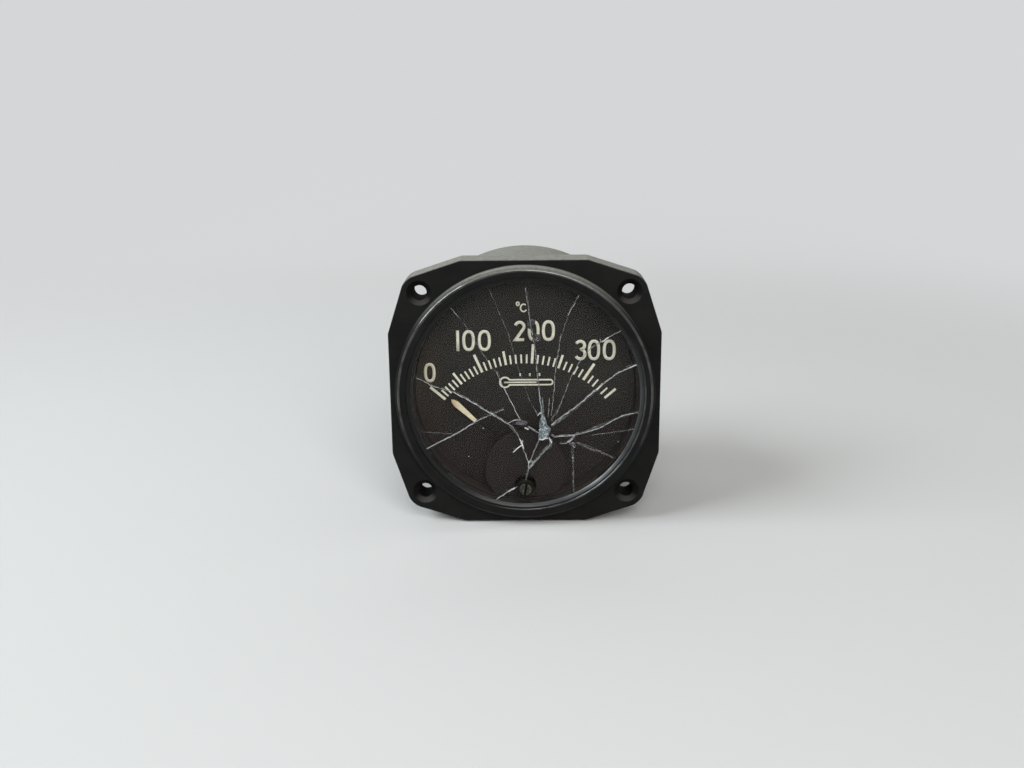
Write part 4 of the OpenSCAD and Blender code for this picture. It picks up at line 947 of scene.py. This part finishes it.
stroke_object("scale_symbol", thermometer(), symbol_stroke)


# The pointer is a thin aluminium arm, painted black. Its lance-shaped end is cut out and
# filled with luminous compound, which has yellowed and has gone brown at the tip.
pointer_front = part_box("pointer")[0].y / mm + 0.3
rest_angle = math.radians(136.8)
# The compound's outline: its distance from the axis, and half its width there.
lume_edge = [(21.07, 0.30), (21.4, 0.57), (29.3, 0.97), (30.8, 0.60)]
lume_root = 31.44
dress(black_paint, "pointer", "pointer_stops", "front_bridge", "zero_corrector")


def aged_lume():
    material, surface = plain_surface("aged_lume", Specular_IOR_Level=0.3)
    pale = clouded(surface, 0.9, 5, (0.89, 0.83, 0.64), (0.74, 0.64, 0.44))
    burnt = blend_colours(along(surface, "X", -20.2, -23.8), pale, (0.46, 0.26, 0.12))
    coat(surface, burnt, grain(surface, 0.35, 4), 0.6, 0.85, 0.08)
    return material


def make_lume():
    """The compound stands a little proud in the middle and sinks to the lance's rim."""
    outline = lume_edge + [(lume_root, 0.0)] + [(r, -w) for r, w in reversed(lume_edge)]
    bm = bmesh.new()
    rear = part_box("luminous_fill")[1].y
    face = bm.faces.new([bm.verts.new((r * mm, rear, w * mm)) for r, w in outline])
    swept = pull(bm, [face], (0, pointer_front * mm - rear, 0))
    front = [f for f in swept if isinstance(f, bmesh.types.BMFace)]
    for inset, rise in ((0.12, 0.05), (0.2, 0.04), (0.25, 0.02)):
        bmesh.ops.inset_region(bm, faces=front, thickness=inset * mm)
        bmesh.ops.translate(bm, verts=list({v for f in front for v in f.verts}),
                            vec=(0, -rise * mm, 0))
    turn = Matrix.Rotation(-rest_angle, 4, "Y")
    bmesh.ops.transform(bm, matrix=Matrix.Translation((0, 0, axis_height * mm)) @ turn, verts=bm.verts)
    return make_object("lume_in_lance", bm)


finish_piece(make_lume(), aged_lume(), ["luminous_fill"], "moving_coil", 50)


# A grey rubber gasket lies on the case's ledge, with the glass on it. A bush through the glass
# carries the slotted brass screw that sets the pointer's zero.
glass_low, glass_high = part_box("cover_glass")
glass_front = glass_low.y / mm
glass_rear = glass_high.y / mm
glass_radius = glass_high.x / mm
glass_edge = 0.2
bush_hole = 2.2
bush_low, bush_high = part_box("zero_bushing")
bush_front = bush_low.y / mm
bush_rear = bush_high.y / mm
zero_height = -30.0
dark_brass = machined("darkened_brass", (0.022, 0.020, 0.016), (0.012, 0.011, 0.009), 0.50,
                      cloud=1.0)
dress(dark_brass, "zero_bushing_nut")
dress(soft_cover("gasket_rubber", (0.016, 0.014, 0.013), (0.026, 0.023, 0.021), 0.7, 0.3),
      "glass_gasket")


def clear_glass():
    """Old plate glass: a film of grime, thicker towards the top, and a weak mirror on both faces."""
    material, unused = plain_surface("clear_glass")
    material.node_tree.nodes.remove(unused)
    output = material.node_tree.nodes["Material Output"]
    clear = add_node(output, "BsdfTransparent", Color=(0.98, 0.98, 0.965, 1))
    gloss = add_node(output, "BsdfGlossy", Color=(0.95, 0.97, 1.0, 1), Roughness=0.05)
    film = add_node(output, "BsdfDiffuse", Color=(0.36, 0.34, 0.29, 1))
    mirror = add_node(output, "Fresnel", IOR=1.15)
    amount = product(along(output, "Z", -9, 1, 0.15), spread(grain(output, 9, 5), 0.004, 0.010))
    pane = mixed(mirror.outputs[0], clear.outputs[0], gloss.outputs[0])
    join(mixed(amount, pane, film.outputs[0]), output.inputs["Surface"])
    return material


def make_glass():
    disc = disc_profile(0, glass_radius, glass_front, glass_rear, glass_edge)
    glass = spun("round_glass", disc, 128)
    drill(glass, [(bush_hole, glass_front - 1), (bush_hole, glass_rear + 1)], 0, zero_height)
    finish_piece(glass, clear_glass(), ["cover_glass"])


def make_bush():
    bore, shank, flange, edge, bevel = 1.15, 2.1, 2.7, 0.15, 0.1
    outline = [(bore, bush_rear), (bore, bush_front + bevel), (bore + bevel, bush_front)]
    outline += arc(flange - edge, bush_front + edge, edge, -90, 0, 4)
    outline += [(flange, glass_front), (shank, glass_front), (shank, bush_rear)]
    bush = spun("flanged_bush", outline, 64, 0, zero_height, closed=True)
    finish_piece(bush, dark_brass, ["zero_bushing"])


def screw_brass(slot_floor):
    """Brass gone greenish black, with painted shade from the floor of the slot back."""
    material = machined("tarnished_screw", (0.105, 0.11, 0.09), (0.022, 0.023, 0.018), 0.32,
                        cloud=0.7)
    surface = material.node_tree.nodes["Principled BSDF"]
    # Painted shade: everything from the floor of the slot back is darker.
    lay_over(surface, along(surface, "Y", slot_floor - 0.3, slot_floor - 0.02),
             (0.008, 0.008, 0.007))
    return material


def make_zero_screw():
    """The screw's head and shank, with the disc and eccentric pin at its inner end."""
    low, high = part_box("zero_screw")
    front, pin_rear = low.y / mm, high.y / mm
    head_rear, disc_front, disc_rear = front + 0.9, front + 4.15, front + 4.55
    head, edge, shank, disc, pin = 1.9, 0.22, 1.1, 1.8, 0.4
    slit_width, slit_depth, slit_lean = 0.7, 0.5, math.radians(8)
    outline = [(0, front)] + arc(head - edge, front + edge, edge, -90, 0, 4)
    outline += [(head, head_rear), (shank, head_rear), (shank, disc_front), (disc, disc_front),
                (disc, disc_rear), (0, disc_rear)]
    screw = spun("zero_setting_screw", outline, 64, 0, zero_height)
    cut_slot(screw, (slit_width, 2 * slit_depth, 6), (0, front, zero_height), slit_lean)
    pin_front, pin_height = disc_rear - 0.2, zero_height - 1
    post = [(0, pin_front), (pin, pin_front), (pin, pin_rear), (0, pin_rear)]
    carve(screw, spun("pin", post, 24, 0, pin_height), "UNION")
    finish_piece(screw, screw_brass(front + slit_depth), ["zero_screw"], "zero_adjuster")


make_glass()
make_bush()
make_zero_screw()


# A snap ring of spring steel lies in its groove and holds the glass down. It is split at the
# top. Its inner edge slopes to the glass, and is painted black and rubbed smooth, with a painted
# highlight at the lower right.
def ring_paint():
    """Black paint, lighter and glossy on the inner edge at the lower right: a painted highlight where the
    window's light falls.
    """
    material, surface = plain_surface("ring_paint_painted_highlight", Specular_IOR_Level=0.16,
                                      Coat_Roughness=0.25, Coat_IOR=1.6)
    # Painted highlight: the inner edge is lighter at the lower right, where the window's light falls.
    worn = product(spread(from_line(surface), 1, 0.45, 35.10 * mm, 35.45 * mm),
                   spread(grain(surface, 3, 5), 0.5, 1.0),
                   along(surface, "X", -20, 10), along(surface, "Z", 24, 2))
    set_up(surface, Roughness=spread(grain(surface, 1.2, 4), 0.30, 0.40), Coat_Weight=worn,
           Base_Color=blend_colours(worn, (0.0075, 0.0082, 0.0080), (0.026, 0.030, 0.031)))
    add_bump(surface, grain(surface, 0.4, 4), 0.01)
    return material


def make_snap_ring():
    inner, outer, edge, slope_start, split = 35.0, 36.75, 0.1, 35.95, 1.2
    outline = [(inner + 0.05, snap_rear)]
    for x, y, start, end in ((inner + edge, snap_rear - 0.02 - edge, 180, 230),
                             (slope_start, snap_front + edge, 230, 270),
                             (outer - edge, snap_front + edge, 270, 360),
                             (outer - edge, snap_rear - edge, 0, 90)):
        outline += arc(x, y, edge, start, end, 4)
    ring = spun("split_snap_ring", outline, 192, closed=True)
    cut_slot(ring, (split, 4, 10), (0, snap_front, (outer + inner) / 2))
    finish_piece(ring, ring_paint(), ["snap_ring"])


make_snap_ring()


# The glass is broken. Cracks run from the blow near its middle to the rim, and show as pale
# blades inside the glass: thin bright edges, dim faces behind them, and a few wide bands. Their
# paleness is painted reflection of the light off the broken faces.
crack_front = glass_front + 0.06
bright_cracks = [
    [(6, -11), (5.2, -7), (5, -5.5), (4.2, 2)],
    [(-1.5, -8), (-4, -2.6), (-6.5, 2.5), (-7.6, 4.8)],
    [(-5.5, -9), (-14, -3.5), (-21.5, 1)],
    [(-30.5, -17), (-20, -11.5), (-14.5, -8)],
    [(-5.5, -9), (-3.5, -8), (-1.5, -8)],
    [(1, -10), (4, -12)],
    [(-2.2, -12.8), (-1, -16.5), (1, -21.5), (1, -23.5)],
    [(4.5, -13.5), (2.5, -18.5), (1, -22)],
    [(7.3, -13.5), (8, -15.5), (5.5, -18.5), (1, -23.5)],
    [(-3.3, -30.0), (-5.4, -31.2), (-9.3, -33.9)],
    [(9, -13.4), (14.5, -13), (18.5, -12), (23, -10.5), (29, -7), (33, -6)],
    [(12.5, -15.5), (15, -13)],
    [(8, -9.5), (16.5, -3), (21.5, 1.5), (24.5, 4), (28.5, 7), (31, 8)],
]
plain_cracks = [
    [(4.2, 2), (3.8, 5), (3, 14.5), (1.5, 23.5), (0.3, 33)],
    [(-7.6, 4.8), (-8.6, 7.4)],
    [(-6.5, -4.5), (-14.5, -8)],
    [(-5.5, -9), (-4, -10), (-2.2, -12.8)],
    [(1, -23.5), (0, -27.3), (-3.3, -30.0)],
    [(10.5, -15.5), (12.5, -15.5)],
    [(31, 8), (33.8, 9.3)],
    [(33, -6), (35, -6)],
    [(9.5, -6.5), (11.5, -1), (14, 5.5), (17, 11)],
    [(17, 11), (20, 14.5), (25.5, 18), (28.8, 19.8)],
    [(8, -6.5), (8.8, 1), (9.5, 9.5), (11, 18.5)],
    [(13, 24.5), (16.2, 30.6)],
    [(-19, 23.4), (-22, 27.2)],
    [(-21.5, 1), (-28, 3), (-33.5, 6)],
    [(7, -7), (7.4, -1)],
    [(3.8, -6.5), (2.6, -4)],
]
faint_cracks = [
    [(2.6, -4), (1.5, -2), (-2, 8.5), (-5, 19.5), (-8, 26.5), (-10.5, 33)],
    [(-8.6, 7.4), (-10, 8.5), (-18.5, 23)],
    [(11, 18.5), (13, 24.5)],
    [(-32, -11.5), (-20, -12.3)],
    [(20, -13), (34, -11)],
    [(15.5, -15), (20, -16.5), (24, -18.5), (27.5, -20.5)],
    [(14.6, -15.5), (15, -21), (15, -31.5)],
]
wide_cracks = [
    [(7.9, -10.1), (12.4, -7.0)],
    [(8.0, -12.6), (9.1, -13.5), (10.7, -13.0), (13.9, -12.9)],
    [(13.3, -15.2), (14.6, -14.0), (15.7, -12.2), (17.7, -12.1), (22.9, -9.7)],
    [(7.4, -13.8), (8.2, -16.3), (5.7, -18.1), (2.5, -22.2), (1.2, -23.4)],
    [(3.9, -14.9), (2.3, -18.9), (1.4, -22.2)],
    [(0.5, -10.0), (3.7, -12.0)],
    [(5.2, -2.5), (5.5, -6.2)],
    [(0.7, -23.9), (0.2, -26.8)],
]
soft_cracks = [
    [(11.0, -2.9), (9.0, -6.2), (7.9, -8.4)],
    [(15.8, -15.3), (19.7, -17.2), (23.3, -18.5), (27.5, -20.5)],
    [(14.4, -17.2), (14.7, -21.5), (14.8, -29.0), (15, -31.4)],
    [(22.7, -10.0), (29, -7.2), (33, -6.1)],
    [(12.4, -7.0), (16.5, -3.5), (21.5, 1.1)],
    [(-5.0, -9.5), (-2.0, -13.1)],
    [(-14, -3.6), (-8, -7.3), (-5.5, -9)],
]
glints = [
    [(-1.8, -14.0), (-1.0, -15.7), (-0.6, -17.2)],
    [(-1.0, -15.9), (-2.6, -17.1), (-3.8, -18.3)],
    [(2.3, -22.4), (1.0, -23.6)],
    [(-3.4, -30.1), (-5.3, -31.2)],
    [(4.2, -14.2), (5.4, -14.3), (6.9, -13.8)],
    [(13.2, -15.2), (14.5, -14.1)],
    [(31.5, 8.3), (33.8, 9.3)],
    [(23.2, 16.4), (25.2, 17.8)],
    [(-0.2, -10.4), (1.0, -11.0)],
    [(3.8, -6.5), (4.4, -5.8), (4.9, -5.6)],
    [(7.4, -13.8), (8.1, -15.4)],
]


def jagged(points, draws, step=0.9, sway=0.13):
    """A line through the points that wanders a little from side to side."""
    line = [Vector(points[0])]
    for start, end in zip(points, points[1:]):
        run = Vector(end) - Vector(start)
        across = Vector((-run.y, run.x)).normalized()
        pieces = max(1, round(run.length / step))
        for i in range(1, pieces + 1):
            drift = draws.uniform(-sway, sway) if i < pieces else 0
            line.append(Vector(start) + run * i / pieces + across * drift)
    return line


def fracture(name, least, most, colour):
    """Broken glass in one colour, in patches of noise that are clear between them; on the crack blades the
    pale colour is painted reflection of the light off the broken faces.
    """
    material, surface = plain_surface(name, Base_Color=(*colour, 1), Specular_IOR_Level=0.6)
    set_up(surface, Alpha=spread(grain(surface, 1.3, 5), least, most, 0.38, 0.62),
           Roughness=spread(grain(surface, 0.4, 2), 0.2, 0.5))
    return material


def make_cracks(name, lines, depth, thickness, material):
    """Thin blades that follow the lines and reach back into the glass."""
    bm = bmesh.new()
    for number, points in enumerate(lines):
        draws = random.Random(number + len(lines))
        path = [(x * mm, crack_front * mm, z * mm) for x, z in jagged(points, draws)]
        edges = line_through(bm, path)[1]
        lean = Vector((draws.uniform(-0.3, 0.3), 1.0, draws.uniform(-0.15, 0.15)))
        pull(bm, edges, lean * depth * mm)
    made = make_object(name, bm)
    thicken(made, thickness)
    finish_piece(made, material)


# The pale colours of these blades are painted reflection off the broken faces, and the glints are painted
# glints.
for name, lines, depth, thickness, finish in (
        ("crack_edges_bright", bright_cracks, 0.25, 0.15,
         ("bright_fracture", 0.30, 1.0, (0.86, 0.90, 0.92))),
        ("crack_edges_plain", plain_cracks, 0.25, 0.11,
         ("plain_fracture", 0.12, 0.72, (0.66, 0.69, 0.71))),
        ("crack_edges_faint", faint_cracks, 0.25, 0.09,
         ("faint_fracture", 0.05, 0.38, (0.48, 0.50, 0.52))),
        ("crack_faces_bright", bright_cracks, 1.7, 0.05,
         ("broken_face", 0.14, 0.60, (0.36, 0.39, 0.40))),
        ("crack_faces_plain", plain_cracks, 1.7, 0.04,
         ("dim_face", 0.03, 0.30, (0.26, 0.28, 0.28))),
        ("crack_bands_wide", wide_cracks, 0.5, 0.44,
         ("grey_band", 0.15, 0.78, (0.20, 0.205, 0.205))),
        ("crack_bands_soft", soft_cracks, 0.5, 0.55,
         ("soft_band", 0.05, 0.36, (0.19, 0.19, 0.19))),
        ("crack_glints", glints, 0.35, 0.26,
         ("glint_edge", 0.75, 1.0, (0.92, 0.90, 0.92)))):
    make_cracks(name, lines, depth, thickness, fracture(*finish))


# Where the blow fell the glass is crushed to a pale patch of facets and splinters. Other
# flakes lie along the cracks. The two dark ones are painted shadow of a crack, and hide what is
# printed behind them.
flake_middle = glass_front + 0.9
crushed_outline = [(-2.0, -1.9), (-1.2, 0.2), (-1.6, 1.9), (-1.2, 3.65), (-0.4, 5.8), (0.0, 4.5),
                   (0.4, 3.0), (0.8, 1.7), (1.9, 0.6), (1.6, -0.65), (1.2, -2.3), (-0.2, -2.9),
                   (-1.6, -3.2)]
wedge_outline = [(-0.15, 3.6), (0.1, 3.6), (0.35, 0.0), (0.5, -3.4), (-0.5, -3.4), (-0.2, 0.0)]
long_flake = [(-2.3, -0.4), (-1.1, 0.4), (0.2, 1.0), (1.7, 0.8), (2.2, 0.0), (1.5, -0.8), (0.2, -0.6)]
chip_outline = [(-0.9, 0.3), (-0.1, 0.8), (0.8, 0.5), (0.9, -0.5), (0.2, -0.9), (-0.6, -0.6)]
upper_shadow_outline = [(-1.3, 1.2), (0.1, 1.7), (1.4, 1.5), (1.2, 0.6), (0.5, -0.6), (-0.3, -1.6), (-1.3, -1.2)]
lower_shadow_outline = [(-0.7, 1.2), (0.4, 1.0), (1.3, 0.9), (1.4, -0.7), (0.6, -1.6), (-1.3, -1.5), (-1.2, -0.4)]
# Each spot's place, its reach along X and Z, its count of splinters and their size.
splinter_spots = [
    (5.6, -11.6, 1.6, 2.3, 42, 0.6), (5.5, -8.4, 0.6, 1.5, 16, 0.6), (5.6, -13.8, 1.5, 0.4, 20, 0.6),
    (4.7, -11.0, 0.4, 0.3, 7, 0.6), (6.6, -12.8, 0.4, 0.4, 9, 0.65), (5.5, -8.5, 0.4, 0.3, 6, 0.6),
    (17.7, -12.1, 0.25, 0.15, 4, 0.45), (15.0, -16.8, 0.25, 0.2, 4, 0.4), (14.6, -21.5, 0.2, 0.3, 3, 0.45),
    (13.3, -15.2, 0.4, 0.3, 10, 0.5),
    (14.3, -15.8, 0.8, 0.6, 8, 0.35), (4.3, -6.0, 0.5, 0.3, 7, 0.45), (-0.9, -15.2, 0.25, 0.8, 9, 0.45),
    (1.7, -21.6, 0.7, 0.5, 12, 0.45), (14.6, -20.2, 0.15, 0.4, 4, 0.4), (-3.0, -17.4, 0.9, 0.4, 8, 0.4),
    (7.9, -14.8, 0.3, 0.5, 8, 0.45), (-12.9, -10.5, 0.2, 0.12, 3, 0.4), (-17.6, -19.8, 0.15, 0.12, 3, 0.4),
    (28.7, -15.3, 0.2, 0.2, 3, 0.5), (32.9, -18.1, 0.12, 0.12, 2, 0.4), (21.5, 1.2, 0.8, 0.4, 6, 0.4),
    (23.5, 16.8, 1.2, 0.4, 9, 0.45), (3.7, 17.4, 0.5, 0.6, 6, 0.4), (34.6, 9.4, 0.4, 0.15, 4, 0.4),
    (-5.4, -31.2, 0.7, 0.25, 6, 0.4), (1.5, -23.0, 0.5, 0.4, 10, 0.5), (-1.3, -15.0, 0.2, 0.5, 6, 0.45),
]
draws = random.Random(5)


def make_flake(name, x, z, outline, rise, material):
    """A flake inside the glass, broken into small facets."""
    bm = bmesh.new()
    face = bm.faces.new([bm.verts.new(((x + dx) * mm, flake_middle * mm, (z + dz) * mm))
                         for dx, dz in outline])
    bmesh.ops.poke(bm, faces=[face])
    bmesh.ops.subdivide_edges(bm, edges=bm.edges[:], cuts=1, use_grid_fill=True)
    bmesh.ops.triangulate(bm, faces=bm.faces[:])
    for corner in bm.verts:
        corner.co += Vector([draws.uniform(-reach, reach) * mm for reach in (0.12, rise, 0.12)])
    made = make_object(name, bm)
    thicken(made, 0.04)
    finish_piece(made, material, crease=4)


def make_splinters(name, spots, material):
    """Small three-sided splinters, thrown round each spot inside the glass."""
    bm = bmesh.new()
    for x, z, reach_x, reach_z, count, size in spots:
        for _ in range(count):
            angle = draws.uniform(0, math.tau)
            share = math.sqrt(draws.random())
            length = size * draws.uniform(0.4, 1.0)
            place = Vector(((x + reach_x * share * math.cos(angle)) * mm,
                            (glass_front + draws.uniform(0.3, 1.1)) * mm,
                            (z + reach_z * share * math.sin(angle)) * mm))
            turn = Matrix.Rotation(draws.uniform(0, math.tau), 4, Vector(
                (draws.uniform(-1, 1), draws.uniform(-0.4, 0.4), draws.uniform(-1, 1))).normalized())
            bmesh.ops.create_cone(bm, segments=3, cap_ends=True, radius1=length * 0.5 * mm,
                                  radius2=0, depth=length * 0.6 * mm,
                                  matrix=Matrix.Translation(place) @ turn)
    finish_piece(make_object(name, bm), material, crease=10)


pale_patch = fracture("pale_patch", 0.50, 0.95, (0.20, 0.25, 0.28))
purple_patch = fracture("purple_patch", 0.35, 0.75, (0.150, 0.135, 0.160))
painted_shadow_patch = fracture("painted_shadow_patch", 0.80, 0.98, (0.024, 0.024, 0.026))
make_flake("crushed_patch", 5.9, -11.2, crushed_outline, 0.5, pale_patch)
make_flake("wedge_flake", 5.3, -4.6, wedge_outline, 0.2, pale_patch)
make_flake("long_flake", -1.4, -9.1, long_flake, 0.25, purple_patch)
make_flake("right_chip", 14.7, -16.1, chip_outline, 0.3, purple_patch)
# Painted shadow: two dark sheets over the middle figure of 200, where a crack's shadow falls.
make_flake("upper_painted_shadow", 2.0, 21.9, upper_shadow_outline, 0.15, painted_shadow_patch)
make_flake("lower_painted_shadow", 3.6, 17.9, lower_shadow_outline, 0.15, painted_shadow_patch)
make_splinters("splinters", splinter_spots, fracture("crushed_glass", 0.60, 1.0, (0.76, 0.84, 0.89)))
